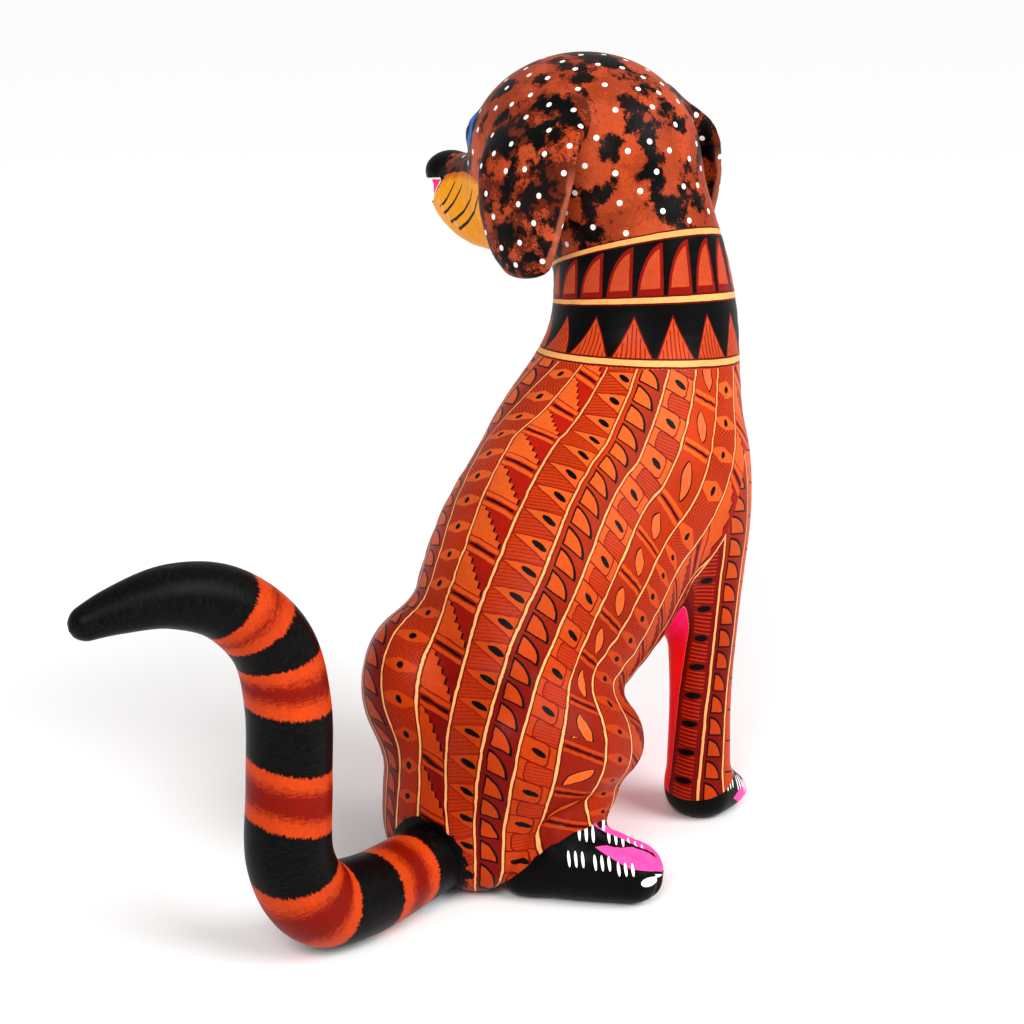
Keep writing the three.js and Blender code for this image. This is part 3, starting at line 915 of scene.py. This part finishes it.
def fins(tree, across, along, width, low):
    y = cells(along + across * 0.2, patternSizes["fins"])
    x = across + width * 0.34
    size = (x / (width * 0.7)).hypot((y + 2.9) / 5.9)
    inside = (size < 1) & (x > 0) & (y > -2.9)
    inner = (size < 0.88) & (x > 0.5) & (y > -2.4)
    # The fin's own dark red edge, deepened by painted shade low on the body.
    shade = (across / width + 0.4).math("MULTIPLY", 0.7, clamp=True).most(low)
    colour = mixColors(tree, shade, colours["russet"], colours["deepRed"])
    colour = mixColors(tree, inside, colour, colours["ink"])
    return mixColors(tree, inner, colour, light(tree, low))


def roundedTabs(tree, across, along, width, low):
    period, corner = patternSizes["tabs"], patternSizes["tabCorner"]
    y = cells(along + across * 0.2, period)
    between = cells(along + across * 0.2 + period / 2, period)
    side = width * -0.27 + corner
    tab = (across + side).most(0).hypot((y.abs() - 1.6).most(0)) - corner
    hatched = (across * -1 + side).most(0).hypot((between.abs() - 1.1).most(0)) - corner
    colour = light(tree, low)
    colour = mixColors(tree, (hatched < 0) & (tab > 0.1), colour, ground(tree, low * 0.3))
    lines = (hatched < -0.3) & (tab > 0.3) & hatching(along, 0.95, 0.13)
    colour = mixColors(tree, lines, colour, colours["hatch"])
    outline = (tab.abs() < 0.24) | ((hatched.abs() < 0.2) & (tab > 0))
    colour = mixColors(tree, outline, colour, colours["deepRed"])
    wide, deep = patternSizes["tabOval"]
    oval = (across / wide).hypot((y + across * 0.14) / deep)
    return mixColors(tree, oval < 1, colour, colours["black"])


def leavesAndBars(tree, across, along, width, low):
    y = cells(along + across * 0.1, patternSizes["leaves"])
    wide, half = patternSizes["leafHalf"]
    leafY = y - 1.9
    lean = (along < 50) * -1.15 + 0.34
    x = across + leafY * lean
    bend = ((leafY / half) * (leafY / half)).flip().most(0)
    leaf = x.abs() - bend * wide
    shown = leafY.abs() < half
    leafColour = mixColors(tree, low, colours["salmon"], colours["amber"])
    colour = mixColors(tree, shown & (leaf < 0.26), ground(tree, low * 0.8), colours["ink"])
    colour = mixColors(tree, shown & (leaf < -0.16), colour, leafColour)
    bar = y + 4.9
    colour = mixColors(tree, bar.abs() < 2.0, colour, ground(tree, low))
    colour = mixColors(tree, (bar.abs() - 1.25).abs() < 0.55, colour, light(tree, low))
    return mixColors(tree, (bar.abs() < 0.28) & (across.abs() < width * 0.4), colour, colours["ink"])


def dotsAndHatch(tree, across, along, width, low):
    period = patternSizes["dots"]
    y = cells(along, period)
    edge = (y.abs() * 2 / period - 0.45) * width + across.abs() * 0.7
    lines = hatching(y.abs() + across * 0.9, 1.15)
    colour = mixColors(tree, edge > 0.3, light(tree, low), ground(tree, low * 0.5))
    colour = mixColors(tree, lines & (edge > 0.5), colour, colours["hatch"])
    return mixColors(tree, across.hypot(y) < patternSizes["dotRadius"], colour, colours["black"])


def ovalStripe(tree, across, along, width, low):
    y = cells(along, patternSizes["ovals"])
    lines = hatching(along + across * 0.15, 1.2, 0.2)
    colour = mixColors(tree, lines, colours["deepRed"], colours["stripeRed"])
    colour = mixColors(tree, (across.abs() > width * 0.3), colour, colours["deepRed"])
    wide, deep = patternSizes["stripeOval"]
    oval = (across / wide).hypot(y / deep)
    colour = mixColors(tree, oval < 1.5, colour, colours["deepRed"])
    return mixColors(tree, oval < 1, colour, colours["black"])


def ticks(tree, across, along, width, low):
    y = cells(along + across * 0.3, patternSizes["ticks"])
    lines = hatching(along - across * 0.5, 1.1) & (y > 1.2)
    colour = mixColors(tree, lines, light(tree, low), colours["russet"])
    return mixColors(tree, (y.abs() < 0.3) & (across.abs() < width * 0.33), colour, colours["ink"])


def useGroup(tree, group, **values):
    node = tree.nodes.new("ShaderNodeGroup")
    node.node_tree = group
    for label, value in values.items():
        if isinstance(value, Paint):
            tree.links.new(value.socket, node.inputs[label])
        elif hasattr(value, "is_output"):
            tree.links.new(value, node.inputs[label])
        else:
            node.inputs[label].default_value = value
    return node.outputs


def newMaterial(name):
    material = bpy.data.materials.new(name)
    material.use_nodes = True
    tree = material.node_tree
    shader = tree.nodes["Principled BSDF"]
    place = tree.nodes.new("ShaderNodeTexCoord").outputs["Object"]
    return material, tree, shader, place


def brushGroup():
    # Brush strokes and wood grain under the paint: a tone to lay over a colour, and a normal.
    tree = bpy.data.node_groups.new("brushedPaint", "ShaderNodeTree")
    tree.interface.new_socket("Place", in_out="INPUT", socket_type="NodeSocketVector")
    tree.interface.new_socket("Relief", in_out="INPUT", socket_type="NodeSocketFloat")
    tree.interface.new_socket("Strength", in_out="INPUT", socket_type="NodeSocketFloat")
    tree.interface.new_socket("Tone", in_out="OUTPUT", socket_type="NodeSocketFloat")
    tree.interface.new_socket("Normal", in_out="OUTPUT", socket_type="NodeSocketVector")
    inputs = tree.nodes.new("NodeGroupInput").outputs
    outputs = tree.nodes.new("NodeGroupOutput").inputs
    broad = noise(tree, inputs["Place"], 60, 2)
    fine = noise(tree, inputs["Place"], 900, 3, 0.65)
    tone = (broad - 0.5) * 0.5 + (fine - 0.5) * 0.5
    tree.links.new((tone + 1).socket, outputs["Tone"])
    grain = noise(tree, inputs["Place"], 420, 3)
    bump = tree.nodes.new("ShaderNodeBump")
    bump.inputs["Distance"].default_value = 0.0004
    tree.links.new(inputs["Strength"], bump.inputs["Strength"])
    tree.links.new((grain * 0.4 + Paint(tree, inputs["Relief"])).socket, bump.inputs["Height"])
    tree.links.new(bump.outputs[0], outputs["Normal"])
    return tree


brushedPaint = brushGroup()


def finishPaint(tree, shader, place, colour, relief, strength=0.3):
    brushed = useGroup(tree, brushedPaint, Place=place, Relief=relief, Strength=strength)
    toned = tree.nodes.new("ShaderNodeMix")
    toned.data_type = "RGBA"
    toned.blend_type = "MULTIPLY"
    toned.inputs[0].default_value = 1
    tree.links.new(colour, toned.inputs[6])
    tree.links.new(brushed["Tone"], toned.inputs[7])
    tree.links.new(toned.outputs[2], shader.inputs["Base Color"])
    tree.links.new(brushed["Normal"], shader.inputs["Normal"])
    shader.inputs["Roughness"].default_value = 0.4
    shader.inputs["Specular IOR Level"].default_value = 0.06


# Which pattern each band round the trunk carries: 0 is the spine, and positive runs to the dog's right.
# From 20 on they are the bands round a front leg. The first pattern also fills the bands not named.
bandPlan = {
    "stepped": (steppedBand, (0, 6, -6, 23)),
    "zigzag": (zigzagOvals, (1, -4, 9, -9)),
    "fins": (fins, (2, 7, -2, -7, 21)),
    "tabs": (roundedTabs, (3, -3, 10)),
    "leaves": (leavesAndBars, (4, -5)),
    "dots": (dotsAndHatch, (5, -1, 8, -8)),
    "ovals": (ovalStripe, (20,)),
    "ticks": (ticks, (22,)),
}
bandGroups = {name: motifGroup(name + "Pattern", draw) for name, (draw, _) in bandPlan.items()}


def bandedCoat(tree, place, wobble, sway):
    # The patterned bands of the trunk and the front legs, and where a cream line runs.
    sine, cosine, v = split(tree, attribute(tree, "bandTurn", "Vector"))
    width = attribute(tree, "bandWidth")
    legU, legV, legWidth = split(tree, attribute(tree, "legBand", "Vector"))
    legEdge = attribute(tree, "legEdge") + wobble
    onLeg = legEdge > 0
    u = sine.turnOf(cosine) * (180 / math.pi / paintSizes["bandAngle"]) + (wobble + sway) / width
    legU = legU + (wobble + sway) / legWidth
    trunkIndex = (u + 0.5).floor()
    legIndex = legU.floor()
    pick = lambda a, b: a + (b - a) * onLeg
    width = pick(width, legWidth)
    across = pick(u - trunkIndex, legU - legIndex - 0.5) * width
    along = pick(v, legV) + wobble * 0.6
    index = pick(trunkIndex, legIndex + 20)
    z = split(tree, place)[2]
    # Painted shade: 1 low on the body, deepening the bands' colours and the cream lines' edging there.
    low = ((z * -1000 + 122) / 60).math("ADD", 0.0, clamp=True)
    colour = None
    for name, (_, bands) in bandPlan.items():
        group = bandGroups[name]
        drawn = useGroup(tree, group, Across=across, Along=along, Width=width, Low=low)["Color"]
        if colour is None:
            colour = drawn
            continue
        chosen = index.near(bands[0])
        for band in bands[1:]:
            chosen = chosen | index.near(band)
        colour = mixColors(tree, chosen, colour, drawn)
    margin = width * 0.5 - across.abs()
    margin = margin.least(legEdge.abs() + (legU > 1) * 9)
    edging = mixColors(tree, low, colours["hatch"], colours["darkRed"])
    colour = mixColors(tree, (margin - 0.72).soft(0.22), colour, edging)
    return mixColors(tree, (margin - (low * 0.06 + 0.27)).soft(0.16), colour, colours["cream"])


# Teeth and fins are placed by their angle round the neck's middle; rings by their share of a collar.
neckPaint = {
    "middle": (0.8, -88),
    "toothTurn": 24,
    "toothStart": 0.375,
    "toothTop": 0.76,
    "finTurn": 20,
    "finStart": 0.8,
    "finSize": 0.84,
    "ringHalf": 0.046,
    "ringEdge": 0.075,
}


def neckCoat(tree, place, h, wobble):
    # Teeth and fins between three cream rings; h is 0, 1 and 2 at the rings.
    x, y = split(tree, place)[:2]
    middleX, middleY = neckPaint["middle"]
    angle = (y * 1000 - middleY).turnOf(x * 1000 - middleX) * (180 / math.pi) + wobble
    tooth = ((angle / neckPaint["toothTurn"] - neckPaint["toothStart"]).fract() - 0.5).abs()
    edge = h - neckPaint["toothTop"] + tooth * 1.5
    lines = hatching(angle, 2.5, 0.16) & (edge < -0.1)
    teeth = mixColors(tree, lines, colours["toothOrange"], colours["hatch"])
    teeth = mixColors(tree, edge < -0.05, colours["deepRed"], teeth)
    colour = mixColors(tree, edge < 0, colours["black"], teeth)
    fin = (angle / neckPaint["finTurn"] - neckPaint["finStart"]).fract()
    rise = h - 1.05
    size = ((fin * -1 + 0.97) / neckPaint["finSize"]).hypot(rise / neckPaint["finSize"])
    shaded = (fin > 0.86) | (rise < 0.13) | (size > 0.9)
    finned = mixColors(tree, shaded, colours["finOrange"], colours["finRed"])
    upper = mixColors(tree, (size < 1) & (fin < 0.97) & (rise > 0), colours["black"], finned)
    colour = mixColors(tree, h > 1, colour, upper)
    for ring in (0, 1, 2):
        near = (h - ring).abs()
        colour = mixColors(tree, near < neckPaint["ringEdge"], colour, colours["darkRed"])
        colour = mixColors(tree, near < neckPaint["ringHalf"], colour, colours["ring"])
    return colour


# Whisker strokes on the cheek: start and end as (forward, up) on the head.
whiskers = (((47.5, -5.6), (56.6, -13.1)), ((41.9, -6.1), (54.8, -15.2)), ((33.2, -8.0), (52.1, -18.0)),
            ((29.5, -9.5), (49.0, -20.2)))

# Places are forward and up on the head.
facePaint = {
    "muzzleStart": 34,
    "cheekMiddle": 43,
    "cheekBack": 13,
    "whiskerBend": 5.5,
    "noseEdge": (56.4, 0.72),
    "lipForward": 3.0,
    "lipWidth": 2.3,
    "mouthSlope": 0.48,
    "mouthHalf": 3.3,
    "irisEdge": 0.45,
    "eyeRim": 0.75,
    "pupilEdge": 7.9,
    "glint": (5.0, 4.2, 0.9),
}


def dabbedCoat(tree, place, forward, onEar, fray):
    # Terracotta under dabs of brown and black, closer together on the ears and the muzzle; patches of the
    # black carry a painted grey sheen.
    broad = noise(tree, place, 112, 1.5)
    fine = noise(tree, place, 165, 2)
    closer = onEar.most(forward > facePaint["muzzleStart"])
    dab = broad + (fine - broad) * closer + fray + closer * 0.035
    shade = noise(tree, place, 40, 1)
    base = mixColors(tree, (shade - 0.5).soft(0.25), colours["terracotta"], colours["paleTerracotta"])
    grain = (noise(tree, place, 1300, 2, 0.8) - 0.5) * 0.55
    haze = (noise(tree, place, 85, 2) + fray * 0.8 + grain - 0.5).soft(0.06) * 0.85
    base = mixColors(tree, haze & closer.most(0.4), base, colours["umber"])
    colour = mixColors(tree, (dab * -1 + 0.515).soft(0.07), base, colours["umber"])
    # Painted sheen: patches of the black dabs turn grey.
    sheenPatch = (noise(tree, place, 75, 2) * -1 + 0.56).soft(0.08)
    dark = mixColors(tree, sheenPatch, colours["black"], colours["sheenGrey"])
    return mixColors(tree, (dab * -1 + 0.552).soft(0.05), colour, dark)


def whiteDots(tree, place, colour):
    centre = tree.nodes.new("ShaderNodeVectorMath")
    centre.operation = "DISTANCE"
    tree.links.new(attribute(tree, "dotCentre", "Vector"), centre.inputs[0])
    tree.links.new(place, centre.inputs[1])
    spot = Paint(tree, centre.outputs["Value"]) * 1000 - paintSizes["dotRadius"]
    dots = spot.soft(0.15) & (attribute(tree, "dotNear") < 2.2)
    return mixColors(tree, dots, colour, colours["white"])


def yellowFace(tree, colour, head, earGap, fray):
    # Cheeks and chin, and the whisker strokes, each with a pale dot at its end.
    hx, _, hz = head
    bow = (hx - facePaint["cheekMiddle"]) / 12
    cheek = hz + 2.7 + bow * bow * 1.2 + fray * 4
    cheek = cheek.most((hx - facePaint["cheekBack"] + fray * 12) * -1)
    gold = mixColors(tree, (cheek + 1.6 + fray * 6).soft(1.6), colours["gold"], colours["yellow"])
    colour = mixColors(tree, (cheek < 0) & (earGap > 0.7), colour, gold)
    for (startX, startZ), (endX, endZ) in whiskers:
        stepX, stepZ = endX - startX, endZ - startZ
        length = math.hypot(stepX, stepZ)
        offX, offZ = hx - startX, hz - startZ
        t = (offX * (stepX / length) + offZ * (stepZ / length)) / length
        across = offX * (-stepZ / length) + offZ * (stepX / length) - t * (t - 1) * facePaint["whiskerBend"]
        stroke = (across.abs() - t * 0.24 - 0.26).most((t - 0.5).abs() * length - length * 0.5)
        colour = mixColors(tree, stroke.soft(0.12), colour, colours["ink"])
        dot = (hx - endX - 0.6).hypot((hz - endZ - 1.6) / 1.5) - 0.75
        colour = mixColors(tree, dot.soft(0.15), colour, colours["cream"])
    return colour


def noseAndMouth(tree, colour, head, fray):
    # The black nose, then the mouth's black lip, white line and pink inside.
    hx, _, hz = head
    edge, slope = facePaint["noseEdge"]
    nose = (hx - edge - (hz + 2.2) * slope + fray * 1.5) * -1
    nose = nose.most(hz * -1 - 5)
    colour = mixColors(tree, nose.soft(0.2), colour, colours["black"])
    cornerX, cornerZ = dogSizes["mouthCorner"]
    reach = hx - cornerX - facePaint["lipForward"]
    half = (reach * facePaint["mouthSlope"]).least(facePaint["mouthHalf"])
    inside = half - (hz - cornerZ + half).abs()
    lip = (inside > -facePaint["lipWidth"]) & (hz < half * -1 + cornerZ) & (reach > -4.2)
    colour = mixColors(tree, lip, colour, colours["black"])
    colour = mixColors(tree, (inside > -0.3) & (reach > -0.8), colour, colours["white"])
    return mixColors(tree, (inside > 0.35) & (reach > 0.5), colour, colours["hotPink"])


def blueEyes(tree, colour, head):
    # A dark rim, a pupil and a glint on each.
    eye = attribute(tree, "eyeGap")
    places = (head[0], head[1].abs(), head[2])
    ex, ey, ez = (value - middle for value, middle in zip(places, dogSizes["eye"][:3]))
    out = ex * 0.66 + ey * 0.70 + ez * 0.27
    shown = (eye < facePaint["irisEdge"]) & (ex > 0.9)
    colour = mixColors(tree, (eye < facePaint["eyeRim"]) & (ex > 0.2), colour, colours["ink"])
    colour = mixColors(tree, shown, colour, colours["blue"])
    colour = mixColors(tree, shown & (out > facePaint["pupilEdge"]), colour, colours["black"])
    glintX, glintZ, glintSize = facePaint["glint"]
    glint = shown & ((ex - glintX).hypot(ez - glintZ) < glintSize) & (out > 5)
    return mixColors(tree, glint, colour, colours["white"])


def headCoat(tree, place):
    head = split(tree, attribute(tree, "headPlace", "Vector"))
    earGap, rim, _ = split(tree, attribute(tree, "earPlace", "Vector"))
    fray = (noise(tree, place, 480, 3, 0.8) - 0.5) * 0.5
    colour = dabbedCoat(tree, place, head[0], (earGap - 1.2).soft(1.0), fray)
    # A lighter strip along the ears' rear edge, from just below their root.
    lowered = ((head[2] + 2) * -1 / 6).math("ADD", 0, clamp=True)
    strip = (rim + fray * 1.6 - 0.6).soft(0.6) & (earGap < 1.0) & lowered
    colour = mixColors(tree, strip * 0.65, colour, colours["earRim"])
    colour = whiteDots(tree, place, colour)
    colour = yellowFace(tree, colour, head, earGap, fray)
    colour = noseAndMouth(tree, colour, head, fray)
    return blueEyes(tree, colour, head)


# Groups of three short strokes on a paw: forward of the heel, angle round the foot.
strokeSpots = ((18.3, -21), (26.2, -12), (31.6, -2), (16.0, -56), (23.2, -59), (29.6, -66), (20.5, 10),
               (19.0, 44), (26.5, 52), (31.5, 62))


# Pink crescents on the toes: where each starts, the angle there, and how fast that angle changes.
toeCrescents = ((19.6, -9, 2.5), (21.0, -38, -0.4), (20.5, 70, 0.6))

# Sizes along a paw are in millimetres, those across it in degrees round the foot.
pawPaint = {
    "crescentSpread": (2.3, 23),
    "strokeGap": 1.9,
    "strokeHalf": (0.42, 11),
    "claw": (36.5, 88, 2.6, 9),
}


def pawCoat(tree, wobble):
    forward, angle, _ = split(tree, attribute(tree, "pawAround", "Vector"))
    colour = colours["black"]
    spread, widest = pawPaint["crescentSpread"]
    for start, startAngle, lean in toeCrescents:
        past = forward - start
        centre = past * lean + startAngle
        half = (past * spread).least(widest)
        inside = (angle - centre).abs() - half + wobble * 2
        colour = mixColors(tree, (inside < 0) & (past > 0), colour, colours["toePink"])
    gap = pawPaint["strokeGap"]
    halfWidth, halfLength = pawPaint["strokeHalf"]
    for spotForward, spotAngle in strokeSpots:
        turned = angle - spotAngle
        along = forward - spotForward + turned * 0.03
        single = ((along / gap + 0.5).fract() - 0.5).abs() * gap
        stroke = ((single / halfWidth).hypot(turned / halfLength) < 1) & (along.abs() < gap * 1.5)
        colour = mixColors(tree, stroke, colour, colours["white"])
    clawForward, clawAngle, clawLength, clawTurn = pawPaint["claw"]
    claw = ((angle.abs() - clawAngle) / clawTurn).hypot((forward - clawForward) / clawLength)
    return mixColors(tree, claw < 1, colour, colours["white"])


def dogMaterial(coats):
    # A material with only the coats that show on its faces, which keeps the render quick.
    material, tree, shader, place = newMaterial("painted" + "".join(coat.title() for coat in coats))
    wobble = (noise(tree, place, 240, 2) - 0.5) * 0.5
    sway = (noise(tree, place, 70, 1) - 0.5) * 0.6
    x, y, z = split(tree, place)
    colour = colours["amber"]
    if "bands" in coats:
        colour = bandedCoat(tree, place, wobble, sway)
    # Belly and inner legs in pink, turning red towards the ground: painted shade.
    pink = attribute(tree, "pinkEdge") + wobble
    shadeHeight, shadeFade = paintSizes["bellyShade"]
    pinkShade = (z * 1000 - shadeHeight).soft(shadeFade)
    shadedPink = mixColors(tree, pinkShade, colours["hotPink"], colours["red"])
    colour = mixColors(tree, (pink + 0.55).abs() < 0.5, colour, colours["darkRed"])
    colour = mixColors(tree, pink > 0, colour, shadedPink)
    # Paws and the patch round the tail.
    paw = attribute(tree, "pawEdge") + wobble
    if "paws" in coats:
        colour = mixColors(tree, paw > 0, colour, pawCoat(tree, wobble))
    ragged = (noise(tree, place, 600, 3, 0.7) - 0.5) * 5
    patchSize, patchHeight = paintSizes["patch"]
    patch = (x * 1000).hypot(z * 1000 - patchHeight) - patchSize + ragged
    colour = mixColors(tree, (patch < 0) & (y > 0.008), colour, colours["black"])
    # Neck and head.
    collar = attribute(tree, "collar")
    h = collar + wobble * 0.03
    if "neck" in coats:
        colour = mixColors(tree, h > -0.09, colour, neckCoat(tree, place, h, wobble * 1.5))
    if "head" in coats:
        head = (h > 2.07) | (attribute(tree, "headEdge") > 0)
        colour = mixColors(tree, head, colour, headCoat(tree, place))
    finishPaint(tree, shader, place, colour, 0.0)
    return material


def coatFaces(piece):
    # Gives every face the material with the coats that its corners call for.
    def values(name):
        data = np.empty(len(piece.data.vertices))
        piece.data.attributes[name].data.foreach_get("value", data)
        return data
    collar, headEdge, paw = values("collar"), values("headEdge"), values("pawEdge")
    onlyHead = (collar > 2.2) | (headEdge > 0.8)
    needs = {
        "bands": ~onlyHead & (collar < 0.05),
        "paws": ~onlyHead & (paw > -2.5),
        "neck": ~onlyHead & (collar > -0.25) & (collar < 2.3),
        "head": (collar > 1.95) | (headEdge > -0.8),
    }
    corners = np.empty(len(piece.data.polygons) * 4, int)
    piece.data.polygons.foreach_get("vertices", corners)
    corners = corners.reshape(-1, 4)
    code = np.zeros(len(corners), int)
    for bit, need in enumerate(needs.values()):
        code += need[corners].any(1).astype(int) << bit
    slots = np.zeros(len(corners), int)
    for slot, number in enumerate(np.unique(code)):
        coats = [name for bit, name in enumerate(needs) if number >> bit & 1]
        piece.data.materials.append(dogMaterial(coats))
        slots[code == number] = slot
    piece.data.polygons.foreach_set("material_index", slots.astype(np.int32))
    print("coats of paint:", len(piece.data.materials))


tailPaint = {
    # Start and end of the orange bands, in millimetres along the tail.
    "bands": ((25.8, 40.8), (55.6, 72.5), (87.2, 103.5), (119.0, 133.0), (143.1, 153.2)),
    "bristles": 3.6,
    "slant": (4.1, 2.1),
    "redMiddle": 4.2,
    "streaks": 7,
}


def tailMaterial():
    material, tree, shader, place = newMaterial("bandedPaint")
    along, angle = attribute(tree, "along"), attribute(tree, "round")
    turn = angle * (math.pi / 180)
    sine, cosine = turn.sin(), (turn + math.pi / 2).sin()
    around = join(tree, sine * 3, cosine * 3, along * 0.09)
    bristles = (noise(tree, around, 4.5, 4, 0.75) - 0.5) * tailPaint["bristles"]
    slantTurn, slant = tailPaint["slant"]
    at = along + (turn + slantTurn).sin() * slant + bristles
    depth = None
    for low, high in tailPaint["bands"]:
        inside = (at - (low + high) / 2).abs() * -1 + (high - low) / 2
        depth = inside if depth is None else depth.most(inside)
    streak = noise(tree, join(tree, sine * 2, cosine * 2, along * 1.1), 2.2, 3, 0.7)
    middle = (depth * -1 + tailPaint["redMiddle"] + (streak - 0.5) * tailPaint["streaks"]).soft(3.0)
    band = mixColors(tree, middle, colours["tailOrange"], colours["tailRed"])
    dark = mixColors(tree, (streak * -1 + 0.6).soft(0.2), colours["black"], colours["tailBlack"])
    colour = mixColors(tree, (depth * -1).soft(0.5), dark, band)
    finishPaint(tree, shader, place, colour, streak * 0.5)
    return material


print("carving the dog")
dog = buildDog()
coatFaces(dog)
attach(dog, "root")
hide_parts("dog")

print("carving the tail")
tail = buildTail()
tail.data.materials.append(tailMaterial())
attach(tail, "root")
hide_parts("tail")


# Metres; the camera is (turn, reach, height), the lens is in picture widths, and a light is
# (place, strength, spread or size).
stageSizes = {
    "floor": 16.0,
    "floorTone": 0.9,
    "sky": 0.58,
    "key": ((-1.0, -0.12, 0.88), 2.75, 40),
    "softbox": ((-0.35, 0.85, 0.75), 7.0, 0.4),
    "lightAim": (0, -0.02, 0.1),
    "camera": (215, 0.62, 0.285),
    "aim": (0, -0.020, 0.1015),
    "lens": 2330 / 1024,
    "film": 36,
}


def aimedLight(name, kind, spot, energy, **settings):
    light = bpy.data.lights.new(name, kind)
    light.energy = energy
    for key, value in settings.items():
        setattr(light, key, value)
    lamp = bpy.data.objects.new(name, light)
    lamp.location = spot
    way = Vector(stageSizes["lightAim"]) - Vector(spot)
    lamp.rotation_euler = way.to_track_quat("-Z", "Y").to_euler()
    bpy.context.collection.objects.link(lamp)


def buildStage():
    half, tone = stageSizes["floor"] / 2, stageSizes["floorTone"]
    corners = [(-half, -half, 0), (half, -half, 0), (half, half, 0), (-half, half, 0)]
    mesh = bpy.data.meshes.new("floor")
    mesh.from_pydata(corners, [], [(0, 1, 2, 3)])
    floor = bpy.data.objects.new("floor", mesh)
    bpy.context.collection.objects.link(floor)
    material, _, shader, _ = newMaterial("paleFloor")
    shader.inputs["Base Color"].default_value = (tone, tone, tone, 1)
    shader.inputs["Roughness"].default_value = 0.7
    mesh.materials.append(material)
    world = bpy.data.worlds.new("softWhite")
    world.use_nodes = True
    world.node_tree.nodes["Background"].inputs[0].default_value = (1, 1, 1, 1)
    world.node_tree.nodes["Background"].inputs[1].default_value = stageSizes["sky"]
    bpy.context.scene.world = world
    bpy.context.scene.view_settings.view_transform = "Standard"
    spot, energy, spread = stageSizes["key"]
    aimedLight("key", "SUN", spot, energy, angle=math.radians(spread))
    spot, energy, size = stageSizes["softbox"]
    aimedLight("softbox", "AREA", spot, energy, size=size)


def buildCamera():
    turn, reach, height = stageSizes["camera"]
    aim = Vector(stageSizes["aim"])
    angle = math.radians(turn)
    spot = Vector((aim.x + reach * math.sin(angle), aim.y - reach * math.cos(angle), height))
    data = bpy.data.cameras.new("camera")
    data.sensor_width = stageSizes["film"]
    data.lens = stageSizes["lens"] * stageSizes["film"]
    camera = bpy.data.objects.new("camera", data)
    camera.location = spot
    camera.rotation_euler = (aim - spot).to_track_quat("-Z", "Y").to_euler()
    bpy.context.collection.objects.link(camera)
    bpy.context.scene.camera = camera


print("setting the stage")
buildStage()
buildCamera()
